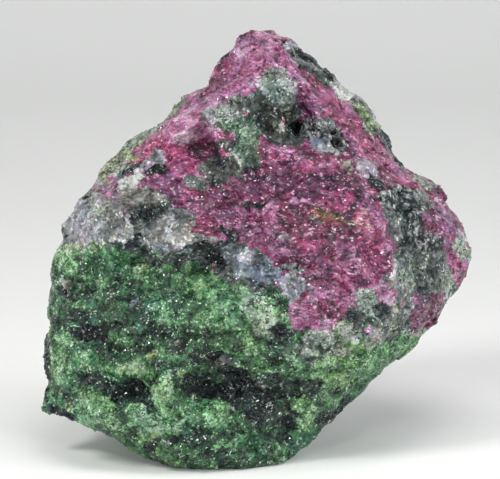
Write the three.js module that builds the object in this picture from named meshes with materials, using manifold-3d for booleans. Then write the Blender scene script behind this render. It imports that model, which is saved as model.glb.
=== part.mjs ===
// Ruby in zoisite: a broken, hand-sized lump of one natural rock. Green granular zoisite carries red ruby,
// white feldspar and black hornblende, all grown together, so the whole specimen is one solid body.
//
// It stands on a small broken foot, leans back a little, and rises to a blunt point. Its corners are written
// on the front elevation in millimetres, [across, up, towards the viewer], then leaned back as it stands.
import * as THREE from "three";
import { ConvexHull } from "three/addons/math/ConvexHull.js";
import { TessellateModifier } from "three/addons/modifiers/TessellateModifier.js";
import { mergeVertices } from "three/addons/utils/BufferGeometryUtils.js";
import Module from "manifold-3d";

const LEAN = THREE.MathUtils.degToRad(14); // how far the front elevation leans back from upright
const FOOT_TOWARDS = 4; // where the front elevation's base line touches the ground, towards the viewer
const SPINE_LOW = [-1, 13, -5]; // a line deep inside: every point of the surface is seen squarely from it
const SPINE_HIGH = [2, 40, -6];
const SPINE_SHARE = 0.47; // of the surface's height that faces the spine's length, not its two ends
const LONGEST_EDGE = 1.95; // of a facet on the finished surface
const TESSELLATIONS = 9;

// Corners round the outline, clockwise from the foot's left end as the viewer sees it.
const outline = {
  lowerLeft: [[-11, 0.5, 3], [-15.5, 2.5, 1.5], [-20, 4.5, 0.5], [-24.5, 6.5, -0.5]],
  left: [[-24, 11, -1], [-24.5, 14.5, -1], [-24, 19, -0.5], [-23.5, 23, 0]],
  leftShoulder: [[-22, 27, -1.5], [-20.5, 31, -3]],
  leftSlope: [[-18.5, 34, -4.5], [-16, 36.5, -5.5], [-13, 38.5, -6], [-10.5, 40, -6.5], [-8, 42.5, -6]],
  peak: [[-5, 45.5, -6], [-3.5, 47.5, -6], [-2.5, 50, -5], [0, 51, -4]],
  rightSlope: [[2, 50.5, -5.5], [5, 48.5, -7], [7, 46, -7.5], [9, 44, -8], [12, 42, -9], [13.5, 40, -9.5]],
  rightNotch: [[17, 34.5, -9.5], [18, 33, -9.5]],
  rightShoulder: [[20.5, 32, -9.5], [24, 28, -9.5], [25, 25, -8.5], [24.5, 22, -8], [23, 19, -7.5]],
  lowerRight: [[21, 16.5, -7], [17.5, 13, -6], [13, 10, -4.5], [10, 7.5, -3], [6, 4.5, -1], [4.5, 2, 0]],
};

// Broken edges where the front's facets meet.
const ridges = {
  browToLeftShoulder: [
    [3, 45.5, 4.5], [-1.5, 43, 4], [-6, 40.5, 3], [-9, 37.5, 3], [-12.5, 35, 3.5],
    [-15, 32, 4], [-17, 31, 4.5], [-19, 29, 4.5], [-19, 25.5, 5],
  ],
  peakToRightVein: [
    [3, 48.5, -1], [5, 44, 4], [7.5, 41.5, 3], [10, 39.5, 3], [11, 36.5, 4.5],
    [14, 33, 5], [15.5, 29, 6], [16, 25, 6.5], [15, 21, 7], [13.5, 18.5, 7],
  ],
};

// The front's facets, from the peak down to the foot.
const front = {
  upperLeftFace: [[0, 47.5, -1], [-3.5, 43.5, 0], [-8, 40.5, 0], [-11, 37.5, 1]],
  recessUnderBrow: [
    [1.5, 43.5, 3], [-2, 41, 1], [2.5, 41, 3], [1.5, 38.5, 1.5],
    [-1.5, 39, 4.5], [-5, 39.5, 3.5], [-5.5, 37, 0.5], [4.5, 39, 0.5],
  ],
  lumpsBelowIt: [[-1.5, 34.5, 5.5], [-3.5, 34, 4.5], [7, 39.5, 4.5], [9, 37, 2.5]],
  upperRightFace: [[9.5, 43, -1], [12.5, 39, 0], [16, 34.5, -1], [19.5, 32, -1]],
  rubyLedge: [[1.5, 36.5, 5.5], [5, 36, 6.5], [9, 35.5, 6.5], [12.5, 34.5, 4.5]],
  rubyFace: [
    [-2.5, 30.5, 7], [0.5, 32.5, 7.5], [4.5, 31.5, 8.5], [9, 32, 8], [12.5, 30, 7.5], [-1, 28, 8.5],
    [4, 26.5, 10], [8.5, 27.5, 9.5], [13, 26, 8.5], [5, 24, 11], [2, 22, 8.5], [8.5, 22, 9.5],
    [12.5, 22, 8.5], [6, 18.5, 10.5], [9, 16.5, 8.5], [12, 18, 7.5],
  ],
  leftShoulder: [[-7.5, 32.5, 6], [-11, 33, 5.5], [-9.5, 29.5, 8], [-12.5, 28.5, 5.5], [-16, 29, 8]],
  feldsparLedge: [[-16.5, 26, 8.5], [-14.5, 26.5, 9], [-11, 25.5, 10], [-8.5, 25, 11], [-5, 26, 10.5]],
  underLedge: [[-17, 24, 6], [-12.5, 23.5, 7], [-8.5, 23, 8], [-4.5, 23.5, 7.5], [-1.5, 24.5, 8.5]],
  greenFace: [
    [-21, 23.5, 4], [-21.5, 19, 4.5], [-17, 19, 8.5], [-11, 19, 10], [-5.5, 19, 10.5], [-1, 18.5, 10.5],
    [4, 16, 10], [-22, 13.5, 4.5], [-17, 14, 8], [-11.5, 14, 10], [-6, 14, 10], [-1, 14, 10], [4.5, 13, 9],
  ],
  greenHollows: [[-19, 9, 6.5], [-14.5, 9, 6.5], [-6, 9, 7.5], [-1, 9.5, 7.5], [4, 9.5, 6], [6.5, 10.5, 6.5]],
  greenLumps: [[-10.5, 9, 10], [-18, 6.5, 7], [-13.5, 6, 8.5], [-9, 6, 9], [-4.5, 6, 8.5]],
  lowerFront: [
    [-22.5, 8.5, 3.5], [-21, 6, 3.5], [0.5, 5.5, 6.5], [4.5, 6, 4.5], [-14.5, 3, 5],
    [-11, 2, 6], [-6.5, 1.5, 6.5], [-2, 1.5, 6], [2.5, 2.5, 4],
  ],
  lowerRightCorner: [
    [9.5, 12.5, 5.5], [12.5, 13.5, 6], [14, 16, 6.5],
    [9.5, 9, 1], [14.5, 12.5, 1.5], [17, 14, 0.5],
  ],
  rightFace: [
    [17, 29, 4.5], [20, 28, 2], [23, 26.5, -3], [17.5, 24, 4], [21, 23, 0],
    [17, 20.5, 4], [20, 20, 0.5], [16.5, 17, 3.5], [19.5, 17, -1], [21.5, 19, -4],
  ],
};

// The hidden back: a few broad broken faces.
const back = {
  top: [[0.5, 47, -12], [-4, 42, -12], [4, 43, -15], [-9, 37.5, -13], [9.5, 39, -16], [-1, 37.5, -18]],
  middle: [
    [-14.5, 32, -12], [-7.5, 31, -18], [6, 32, -20],
    [15, 33.5, -16], [16.5, 27, -17], [21, 26, -15],
  ],
  belly: [
    [-20, 26, -9], [-16, 22.5, -15], [-5.5, 22.5, -21],
    [5, 22.5, -21], [14, 20.5, -18], [20.5, 20.5, -13],
  ],
  lower: [
    [-21.5, 19, -9], [-20, 13.5, -11], [-13.5, 13.5, -17],
    [-4.5, 13.5, -21], [5, 13.5, -19], [13, 14, -13],
  ],
  underside: [
    [-22.5, 9.5, -6], [-20.5, 7, -7], [-17, 6, -11], [-11, 7, -16],
    [-3, 7, -18], [4, 6.5, -15], [8.5, 8, -10],
  ],
};

// The foot's rim, just under the ground, so that trimming it leaves one flat face to rest on.
const foot = {
  rim: [
    [-9, -0.5, 3.5], [-5, -0.5, 4], [-1, -0.5, 4], [3, 0.5, 2.5], [4, 1, -1], [4.5, 2, -8],
    [2, 3, -14.5], [-3.5, 3.5, -16], [-9, 3, -12.5], [-13.5, 2.5, -9], [-13, 2, -3],
  ],
};

// Where the front swells (positive) or is pitted (negative): [across, up, half width, half height, height].
const swells = {
  lumps: [
    [-17.5, 29, 2, 3, 0.9], [-8.5, 25.5, 2.5, 1.5, 0.8], [-2, 36.5, 2, 2, 0.7], [3, 42.5, 2, 2, 0.6],
    [7, 38, 1.5, 1, 0.6], [13, 15, 1, 1, 0.8], [-18, 6.5, 2, 1.5, 0.9], [-10.5, 9.5, 1, 2, 0.9],
    [-1, 18, 3, 2.5, 0.6], [20.5, 18, 2, 1.5, 0.7], [13.5, 12.5, 3.5, 1.5, 0.5],
  ],
  ledges: [[5, 25, 3, 1, 1], [1.5, 29, 1, 1, 0.7], [-21.5, 10.5, 1, 3.5, 0.5]],
  pits: [
    [4.5, 39, 1, 1, -1.4], [9.5, 37, 1, 1, -1.1], [-5.5, 37, 2, 1.5, -1], [-12.5, 29, 2, 2, -1.5],
    [-14.5, 9, 2.5, 1, -1.3], [-3, 9, 5.5, 1.5, -1.1], [-19, 15, 2, 1, -0.8], [10, 17.5, 1, 1, -0.8],
    [-1, 30.5, 1.5, 1, -0.7], [-21.5, 20, 1.5, 1.5, -0.6], [6, 23.5, 3, 0.5, -0.7], [17.5, 28, 2, 1.5, -0.4],
  ],
};

// The broken surface is a patchwork of small tilted faces, in two sizes.
const patchwork = [
  { width: 9.5, step: 0.8, seed: 0 },
  { width: 4.6, step: 0.7, seed: 10 },
];
const PATCH_TILT = 1.6; // a face's fall from end to end, in steps
// Domes of intergrown grains lie on top of the patchwork.
const clusters = { width: 2.9, height: 0.55, seed: 90 };
const SWELL_EDGE = 1.4; // how sharply a swell or pit ends
const FRONT_ONLY = -2; // swells and pits lie further towards the viewer than this
const FADE_FROM = -1; // all of this fades out between these heights, down to the flat foot
const FADE_TO = 2.5;

const wasm = await Module();
wasm.setup();

// All the entries of a list that is kept in named groups.
function allOf(groups) {
  return Object.values(groups).flat();
}

// From the front elevation to the part's frame, where the ground is the plane z = 0.
function stood([across, up, towards]) {
  return new THREE.Vector3(
    across,
    up * Math.sin(LEAN) - towards * Math.cos(LEAN),
    up * Math.cos(LEAN) + (towards - FOOT_TOWARDS) * Math.sin(LEAN),
  );
}

// The same point back on the front elevation.
function onElevation(p) {
  const z = p.z + FOOT_TOWARDS * Math.sin(LEAN);
  return {
    across: p.x,
    up: p.y * Math.sin(LEAN) + z * Math.cos(LEAN),
    towards: -p.y * Math.cos(LEAN) + z * Math.sin(LEAN),
  };
}

const spine = new THREE.Line3(stood(SPINE_LOW), stood(SPINE_HIGH));
const spineAxis = spine.delta(new THREE.Vector3()).normalize();

// The direction straight away from the spine.
function outwards(p) {
  const nearest = spine.closestPointToPoint(p, true, new THREE.Vector3());
  return p.clone().sub(nearest).normalize();
}

// A point's place on a round globe: its bearing round the spine, and its height along it as a latitude.
function onGlobe(p) {
  const out = outwards(p);
  const tip = THREE.MathUtils.clamp(out.dot(spineAxis), -1, 1);
  const along = spine.closestPointToPointParameter(p, true) - 0.5;
  const latitude = (1 - SPINE_SHARE) * Math.asin(tip) + SPINE_SHARE * Math.PI * along;
  const bearing = out.addScaledVector(spineAxis, -tip).normalize();
  return bearing.multiplyScalar(Math.cos(latitude)).addScaledVector(spineAxis, Math.sin(latitude));
}

// Joins neighbouring corners with triangles. The corners' places on the globe tell which are neighbours:
// they are the ones that share a face of those places' convex hull.
function facetsBetween(corners) {
  const cornerOf = new Map(corners.map((corner) => [onGlobe(corner), corner]));
  const hull = new ConvexHull().setFromPoints([...cornerOf.keys()]);
  const points = [];
  for (const face of hull.faces) {
    let edge = face.edge;
    do {
      points.push(cornerOf.get(edge.head().point));
      edge = edge.next;
    } while (edge !== face.edge);
  }
  return new THREE.BufferGeometry().setFromPoints(points);
}

// A number from 0 to 1 that looks random but is always the same for the same whole numbers.
function scattered(...wholes) {
  let h = 374761393;
  for (const n of wholes) {
    h = Math.imul(h ^ n, 668265263);
    h ^= h >>> 15;
  }
  return (Math.imul(h, 1274126177) >>> 0) / 2 ** 32;
}

// The random point that rules the cell (i, j, k) of a grid.
function cellPoint(i, j, k, spacing, seed) {
  const x = i + scattered(i, j, k, seed);
  const y = j + scattered(i, j, k, seed + 1);
  const z = k + scattered(i, j, k, seed + 2);
  return new THREE.Vector3(x, y, z).multiplyScalar(spacing);
}

// Space is shared out among scattered points: the one whose share p is in, and how far away it is.
function cellOf(p, width, seed) {
  const [i0, j0, k0] = [p.x, p.y, p.z].map((v) => Math.floor(v / width));
  let best = { distance: Infinity };
  for (let i = i0 - 1; i <= i0 + 1; i++) {
    for (let j = j0 - 1; j <= j0 + 1; j++) {
      for (let k = k0 - 1; k <= k0 + 1; k++) {
        const point = cellPoint(i, j, k, width, seed);
        const distance = point.distanceTo(p);
        if (distance < best.distance) best = { distance, point, cell: [i, j, k] };
      }
    }
  }
  return best;
}

// Height at p of one size of patchwork: each share carries one flat face with its own step and tilt.
function patchHeight(p, { width, step, seed }) {
  const { point, cell } = cellOf(p, width, seed);
  const [sx, sy, sz, lift] = [3, 4, 5, 6].map((n) => scattered(...cell, seed + n) - 0.5);
  const offset = p.clone().sub(point).divideScalar(width);
  return step * (lift + PATCH_TILT * offset.dot(new THREE.Vector3(sx, sy, sz)));
}

// Height at p of the grain clusters: a dome over each share, with a crease where two domes meet.
function clusterHeight(p, { width, height, seed }) {
  const { distance } = cellOf(p, width, seed);
  return height * (0.5 - 2 * (distance / width) ** 2);
}

// Height at p of the front's swells and pits.
function swellHeight({ across, up }) {
  let height = 0;
  for (const [x, y, halfWidth, halfHeight, rise] of allOf(swells)) {
    const away = ((across - x) / halfWidth) ** 2 + ((up - y) / halfHeight) ** 2;
    height += rise * Math.exp(-SWELL_EDGE * away);
  }
  return height;
}

// How far the real surface stands out from the plain facets at a point, in millimetres.
function relief(p) {
  const seen = onElevation(p);
  let height = clusterHeight(p, clusters);
  for (const patches of patchwork) height += patchHeight(p, patches);
  if (seen.towards > FRONT_ONLY) height += swellHeight(seen);
  return height * THREE.MathUtils.smoothstep(p.z, FADE_FROM, FADE_TO);
}

// Splits the facets small, then moves each point straight away from the spine, so no two parts can cross.
function roughened(facets) {
  const split = new TessellateModifier(LONGEST_EDGE, TESSELLATIONS).modify(facets);
  const place = split.getAttribute("position");
  const p = new THREE.Vector3();
  for (let i = 0; i < place.count; i++) {
    p.fromBufferAttribute(place, i);
    p.addScaledVector(outwards(p), relief(p));
    place.setXYZ(i, p.x, p.y, p.z);
  }
  return split;
}

// A closed geometry as a solid, and back.
function solidOf(geometry) {
  const plain = new THREE.BufferGeometry().setAttribute("position", geometry.getAttribute("position"));
  if (geometry.index) plain.setIndex(geometry.index);
  const merged = mergeVertices(plain, 1e-4);
  return new wasm.Manifold(
    new wasm.Mesh({
      numProp: 3,
      vertProperties: merged.getAttribute("position").array,
      triVerts: new Uint32Array(merged.index.array),
    }),
  );
}

function geometryOf(solid) {
  const mesh = solid.getMesh();
  const geometry = new THREE.BufferGeometry();
  geometry.setAttribute("position", new THREE.BufferAttribute(mesh.vertProperties, 3));
  geometry.setIndex(new THREE.BufferAttribute(mesh.triVerts, 1));
  return geometry;
}

// Trims everything below the ground plane, which leaves the flat foot.
function trimmedAtGround(geometry) {
  const side = 120;
  const below = new THREE.BoxGeometry(side, side, side).translate(0, 0, -side / 2);
  return geometryOf(solidOf(geometry).subtract(solidOf(below)));
}

function specimen() {
  const corners = [outline, ridges, front, back, foot].flatMap(allOf).map(stood);
  const geometry = trimmedAtGround(roughened(facetsBetween(corners)));
  geometry.computeBoundingBox();
  const centre = geometry.boundingBox.getCenter(new THREE.Vector3());
  geometry.translate(-centre.x, -centre.y, 0); // the origin is under the middle of the box, on the ground
  geometry.computeVertexNormals();
  const stone = new THREE.MeshStandardMaterial({ color: 0x6a6e67, roughness: 0.55, metalness: 0 });
  const rock = new THREE.Mesh(geometry, stone);
  rock.name = "ruby_zoisite_rock";
  return rock;
}

const root = new THREE.Group();
root.add(specimen());

export default root;
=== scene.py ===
# %% [markdown]
# Ruby in zoisite, a hand specimen.
# The real thing is one broken piece of rock: pink ruby above, granular green zoisite below,
# with black hornblende and white to blue-grey feldspar between them.
# The CAD part gives its size and its main faces. This lesson breaks that surface up finer,
# works out which mineral lies where, sows the grains that stand out of it and lights the stone.

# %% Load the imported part
import math
from itertools import product

import bmesh
import bpy
import numpy as np
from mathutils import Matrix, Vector


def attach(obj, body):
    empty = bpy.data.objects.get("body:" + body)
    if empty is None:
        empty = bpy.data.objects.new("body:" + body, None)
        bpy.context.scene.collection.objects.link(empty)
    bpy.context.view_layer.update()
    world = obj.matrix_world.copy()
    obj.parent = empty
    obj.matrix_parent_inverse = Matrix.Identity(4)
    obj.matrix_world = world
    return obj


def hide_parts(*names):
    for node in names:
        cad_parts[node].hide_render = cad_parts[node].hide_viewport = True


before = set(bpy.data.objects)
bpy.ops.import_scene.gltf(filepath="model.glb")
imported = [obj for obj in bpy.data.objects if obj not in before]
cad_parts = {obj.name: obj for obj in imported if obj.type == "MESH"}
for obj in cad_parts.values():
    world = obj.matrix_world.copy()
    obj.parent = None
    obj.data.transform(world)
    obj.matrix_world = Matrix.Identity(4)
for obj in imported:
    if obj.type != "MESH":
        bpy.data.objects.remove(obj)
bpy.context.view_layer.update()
MM = 0.001
ROCK_NODE = "ruby_zoisite_rock"

# %% [markdown]
# The stone is described as its front is seen: leaned back by 14 degrees, with millimetres
# across to the right, up the picture and towards the eye. One function turns points of the
# part's frame into that front view, and one turns a place in the view back into the part's frame.

# %% The front view
LEAN = math.radians(14)
SIN_LEAN = math.sin(LEAN)
COS_LEAN = math.cos(LEAN)
MIDDLE_OF_BOX = (0.06, 9.41)
FOOT_TOWARDS = 4


def front_view(points):
    """Across, up and towards, in mm, of points of the part's frame in mm."""
    back = points[:, 1] + MIDDLE_OF_BOX[1]
    height = points[:, 2] + FOOT_TOWARDS * SIN_LEAN
    across = points[:, 0] + MIDDLE_OF_BOX[0]
    up = back * SIN_LEAN + height * COS_LEAN
    towards = height * SIN_LEAN - back * COS_LEAN
    return np.stack([across, up, towards], axis=1)


def part_place(across, up, towards):
    """The place in the part's frame, in metres, of a place in the front view in mm."""
    back = up * SIN_LEAN - towards * COS_LEAN
    height = up * COS_LEAN + towards * SIN_LEAN
    return MM * Vector((
        across - MIDDLE_OF_BOX[0],
        back - MIDDLE_OF_BOX[1],
        height - FOOT_TOWARDS * SIN_LEAN,
    ))


TOWARDS_EYE = np.array([0, -COS_LEAN, SIN_LEAN])
UPWARDS_IN_VIEW = np.array([0, SIN_LEAN, COS_LEAN])
RIGHT_IN_VIEW = np.array([1, 0, 0])
print("a point 26 mm up the front is at", list(part_place(0, 26, 0)))

# %% [markdown]
# A broken stone is random, but it has to come out the same each time. Every random number here
# is worked out from the whole-number cell that a point lies in, so nothing depends on the run.
# Smooth drift gives slow changes, and the nearest of scattered seeds gives broken plates and
# lumps. Blender's own noise could do this in a Displace modifier, but here the same numbers
# also place the minerals and turn the grains.

# %% Numbers, drift and scattered seeds
BIG_PRIMES = np.array([73856093, 19349663, 83492791], dtype=np.int64)
SEED_STEP = 40503
WORD = 0xFFFFFFFF
MIXER = 739982445
FINE_CELL = 0.05


def number(cells, seed):
    """One number from 0 to 1 for each cell, the same at every run."""
    mixed = (cells.astype(np.int64) * BIG_PRIMES).sum(axis=-1) + seed * SEED_STEP
    for _ in range(3):
        mixed = mixed & WORD
        mixed = (mixed ^ (mixed >> 15)) * MIXER
    mixed = mixed & WORD
    return (mixed ^ (mixed >> 12)) / (WORD + 1)


def own_cell(points):
    """The tiny cell that each point in mm lies in, for chances of the point's own."""
    return np.floor(points / FINE_CELL)


def drift(points, size, seed):
    """A smooth value from -1 to 1 that changes over about size mm."""
    place = points / size
    low = np.floor(place)
    part = place - low
    part = part * part * (3 - 2 * part)
    total = np.zeros(len(points))
    for corner in product((0, 1), repeat=3):
        share = np.prod(np.where(corner, part, 1 - part), axis=1)
        total += share * number(low + corner, seed)
    return 2 * total - 1


def nearest_seed(points, size, seed):
    """The cell of the nearest scattered seed, the way from it in mm, and how near the edge is."""
    place = points / size
    low = np.floor(place)
    best = np.full(len(points), np.inf)
    second = best.copy()
    best_cell = low.copy()
    best_way = place * 0
    for step in product((-1, 0, 1), repeat=3):
        cell = low + step
        spot = cell + np.stack([number(cell, seed + axis) for axis in (1, 2, 3)], axis=1)
        way = place - spot
        far = np.linalg.norm(way, axis=1)
        nearer = far < best
        second = np.where(nearer, best, np.minimum(second, far))
        best = np.where(nearer, far, best)
        best_cell[nearer] = cell[nearer]
        best_way[nearer] = way[nearer]
    return best_cell, best_way * size, second - best


def smooth_step(low, high, value):
    """From 0 at low to 1 at high, with soft ends."""
    part = np.clip((value - low) / (high - low), 0, 1)
    return part * part * (3 - 2 * part)


print("three numbers", number(np.array([[0, 0, 0], [1, 0, 0], [0, 1, 0]]), 7))

# %% [markdown]
# Each mineral has its own run of tints, from the dark of its shaded grains to the pale of its
# lit ones. Zoisite has a dark and a pale group, because its grains are sown as two meshes. Tints
# are sRGB hex values, and one function turns them to the linear light that shaders work in.

# %% Tints of the minerals
tints = {
    "wine": ("ruby", "482640"),
    "crimson": ("ruby", "80345a"),
    "magenta": ("ruby", "a04670"),
    "pink": ("ruby", "a45e8a"),
    "rose": ("ruby", "c08cae"),
    "blush": ("ruby", "d0bacb"),
    "plum": ("ruby", "785272"),
    "ember": ("ruby", "95454e"),
    "salmon": ("ruby", "b67e80"),
    "bottle": ("dark_zoisite", "274535"),
    "teal": ("dark_zoisite", "36705a"),
    "moss": ("dark_zoisite", "3e6648"),
    "olive": ("dark_zoisite", "6b6c48"),
    "leaf": ("pale_zoisite", "538a5c"),
    "spring": ("pale_zoisite", "82b47c"),
    "mint": ("pale_zoisite", "aacaa6"),
    "fern": ("pale_zoisite", "5a7a60"),
    "sage": ("pale_zoisite", "7c8a7c"),
    "pale_sage": ("pale_zoisite", "acb7a8"),
    "lime": ("pale_zoisite", "a4b474"),
    "black": ("hornblende", "0b0f12"),
    "slate": ("hornblende", "222c2e"),
    "steel": ("hornblende", "3a4648"),
    "cream": ("feldspar", "d8d8cc"),
    "bone": ("feldspar", "b8bbb9"),
    "white": ("feldspar", "939897"),
    "ash": ("feldspar", "757b7a"),
    "lead": ("feldspar", "5e6362"),
    "lavender": ("feldspar", "9c90a2"),
    "mist": ("feldspar", "8390a0"),
    "pearl": ("feldspar", "adb6be"),
    "sand": ("feldspar", "958f86"),
    "umber": ("feldspar", "4c504a"),
}
minerals = ["pale_zoisite", "dark_zoisite", "ruby", "feldspar", "hornblende"]


def linear(hex_colour):
    """An sRGB hex value as linear red, green and blue."""
    parts = np.array([int(hex_colour[at:at + 2], 16) for at in (0, 2, 4)]) / 255
    return np.where(parts <= 0.04045, parts / 12.92, ((parts + 0.055) / 1.055) ** 2.4)


def by_mineral(values, mineral):
    """The value of each point's mineral, out of a value for each name."""
    return np.array([values[name] for name in minerals])[mineral]


tint_names = list(tints)
tint_colour = np.array([linear(tints[name][1]) for name in tint_names])
tint_mineral = np.array([minerals.index(tints[name][0]) for name in tint_names])
print(len(tints), "tints")

# %% [markdown]
# The rock is never one mineral for long. A mix says how many grains of each tint lie together in
# a patch, and how far the patch stands proud (or lies sunk) in mm, because the soft dark blades
# break out of the face and the pale lumps stay.

# %% Mixes of grains
mixes = {
    "ruby": (0, dict(wine=1.2, crimson=4, magenta=2, pink=4.5, rose=1.5)),
    "bright ruby": (0.06, dict(crimson=0.8, magenta=2.2, pink=5, rose=5, blush=1.5)),
    "magenta": (0.05, dict(crimson=2, magenta=6, pink=2, rose=0.5)),
    "crimson": (0, dict(wine=8, plum=1.2, crimson=5.6, magenta=0.8, pink=0.4)),
    "wine": (-0.1, dict(wine=5, crimson=4, plum=1)),
    "rose": (0.08, dict(pink=3, rose=5, blush=2)),
    "ember": (0.05, dict(wine=3, crimson=4, ember=4, salmon=0.6)),
    "rusty": (-0.05, dict(wine=2.4, ember=1.4, olive=4.4, sand=1, salmon=0.4)),
    "coral": (0.05, dict(crimson=2.4, magenta=2, pink=1, rose=1, salmon=3)),
    "mauve": (0, dict(wine=2, crimson=1, plum=5, pink=1.8, lavender=1.5)),
    "dusky": (0, dict(plum=3, lavender=3, lead=2, ash=1)),
    "leaf": (0, dict(black=0.4, bottle=3, moss=4, leaf=4, spring=2, mint=0.6)),
    "bright leaf": (0.1, dict(bottle=0.5, moss=2, leaf=4, spring=4, mint=1.5)),
    "soft leaf": (0.05, dict(slate=2.4, steel=2.2, fern=5, sage=2.4, pale_sage=0.6)),
    "vivid leaf": (0.08, dict(moss=1.5, leaf=5, spring=3, lime=0.5)),
    "pale leaf": (0.15, dict(leaf=2, spring=6, mint=3.6)),
    "spring": (0.2, dict(leaf=0.8, spring=7, mint=4)),
    "frosty leaf": (0.15, dict(leaf=1, spring=3, mint=5, pale_sage=2)),
    "deep green": (-0.05, dict(black=2, bottle=5, teal=1, moss=3, leaf=1.5, mint=0.6)),
    "teal": (0, dict(bottle=2, teal=5, leaf=2, spring=1)),
    "sage": (0.05, dict(moss=0.6, lead=1, sage=5, pale_sage=3)),
    "dark sage": (-0.05, dict(slate=2, steel=3, lead=1, sage=4)),
    "pale sage": (0.15, dict(lead=0.3, sage=3, pale_sage=6, bone=3)),
    "lime": (0.08, dict(leaf=1, spring=2, lime=5, mint=1)),
    "black": (-0.35, dict(black=6, slate=3, bottle=1.5, moss=0.6, steel=0.5, ash=0.3)),
    "hollow": (-0.3, dict(black=5, slate=2.6, bottle=3.4, moss=1.4, teal=0.4, steel=0.9, mist=0.4, ash=0.3)),
    "slate": (-0.1, dict(black=2, slate=5, steel=4, mist=0.6)),
    "flecked slate": (-0.1, dict(black=1.6, slate=3.4, steel=4, lead=1, mist=1.4, pearl=0.8)),
    "speckle": (-0.05, dict(black=5, slate=2, steel=1, ash=1.2, white=1.5, bone=2.5)),
    "salt": (0.3, dict(black=3, slate=2, lead=1, ash=2, white=2, bone=3)),
    "white": (0.25, dict(steel=1, lead=4.2, ash=2.6, white=2, sand=0.6, lavender=0.5, bone=2.2)),
    "chalk": (0.25, dict(white=2, bone=5, cream=2, pearl=1)),
    "grey": (0.05, dict(steel=1.2, lead=4, ash=3.4, white=1.4)),
    "lavender": (0.05, dict(lavender=5, pearl=2, white=2)),
    "pale blue": (0.05, dict(mist=4.5, pearl=4, lavender=0.8, white=1)),
    "blue grey": (0, dict(steel=1, lead=1, mist=6, pearl=2)),
    "sand": (0.05, dict(lead=1, sand=5, ash=2, white=1)),
    "umber": (-0.1, dict(slate=1, umber=6, lead=3, sage=0.6)),
}
mix_names = list(mixes)
mix_raise = np.array([mixes[name][0] for name in mix_names])


def tint_steps(name):
    """A mix's tints from dark to light, where each ends from 0 to 1, and where its middle is."""
    shares = mixes[name][1]
    order = sorted(shares, key=lambda tint: tint_colour[tint_names.index(tint)].sum())
    part = np.array([shares[tint] for tint in order])
    part = part / part.sum()
    ends = np.cumsum(part)
    return np.array([tint_names.index(tint) for tint in order]), ends, ends - part / 2


mix_steps = [tint_steps(name) for name in mix_names]
print(len(mixes), "mixes of", len(tints), "tints")

# %% [markdown]
# Where each mineral lies is read off the real stone as brush strokes: a mix, a half width in mm
# and the points that the stroke passes, across and up the front view. A later stroke lies over an
# earlier one. A painted image would be quicker to make, but strokes stay editable and sharp at any
# size. They are grouped by the part of the face they belong to.
# The cap is the brightest ruby, pink on its ridge, with a green rim down its left side. A thin pale rose
# line along the ridge and a chalk streak low on its left are painted highlights.

# %% The ruby cap
ruby_cap = [
    ("bright ruby", 3, (1.5, 47.5), (-1.5, 46), (-5, 43.5), (-8.5, 41), (-11.5, 38)),
    ("bright ruby", 1.1, (2.3, 48.2), (2, 46.5), (0, 45.5), (-3, 44)),
    ("mauve", 0.6, (-1.6, 49.2), (0.5, 48.8)),
    ("wine", 0.4, (-3.3, 47.6), (-4.4, 46)),
    ("crimson", 0.8, (-4, 44.8), (-6.3, 43.2)),
    ("rose", 0.8, (-7.5, 41.8), (-8.5, 40.8)),
    ("sage", 0.9, (-9, 42), (-12.5, 39), (-15, 36.8), (-17.5, 34.3)),
    ("lime", 0.5, (-15.2, 36), (-14.4, 35.6)),
    ("pale sage", 0.6, (-17.2, 34.5), (-16.4, 34.2), (-15.4, 34.8)),
    ("lime", 0.4, (-17.5, 33.6), (-17.3, 33)),
    ("slate", 0.4, (-15.8, 33.4), (-14.6, 34.3), (-13.6, 34.8)),
    # Painted highlight: a thin pale rose line along the brow ridge, where its edge catches the light.
    ("rose", 0.2, (2.8, 45.4), (0.2, 44.3), (-2, 43), (-4, 42), (-6.2, 40.9)),
    ("sage", 0.55, (-3, 41.6), (-1, 42), (1, 42.7)),
    ("bright ruby", 1, (-9, 39.3), (-6.8, 39.4)),
    ("rose", 0.5, (-11.8, 37.8), (-9.5, 38.6)),
    ("magenta", 1.2, (-11, 36.6), (-9.3, 36.2), (-8.3, 34.8)),
    ("lavender", 0.7, (-5.7, 40.6), (-5.3, 39.8)),
    ("lavender", 0.9, (-11, 35.8), (-12.6, 34.4)),
    ("white", 0.7, (-11.6, 35.6), (-13, 34)),
    # Painted highlight: a chalk streak where a facet edge of the ridge catches the light.
    ("chalk", 0.7, (-13, 33.6), (-15.4, 32)),
    ("mauve", 1.2, (-12, 33), (-9.6, 32.5)),
]
print(len(ruby_cap), "strokes on the ruby cap")
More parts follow.
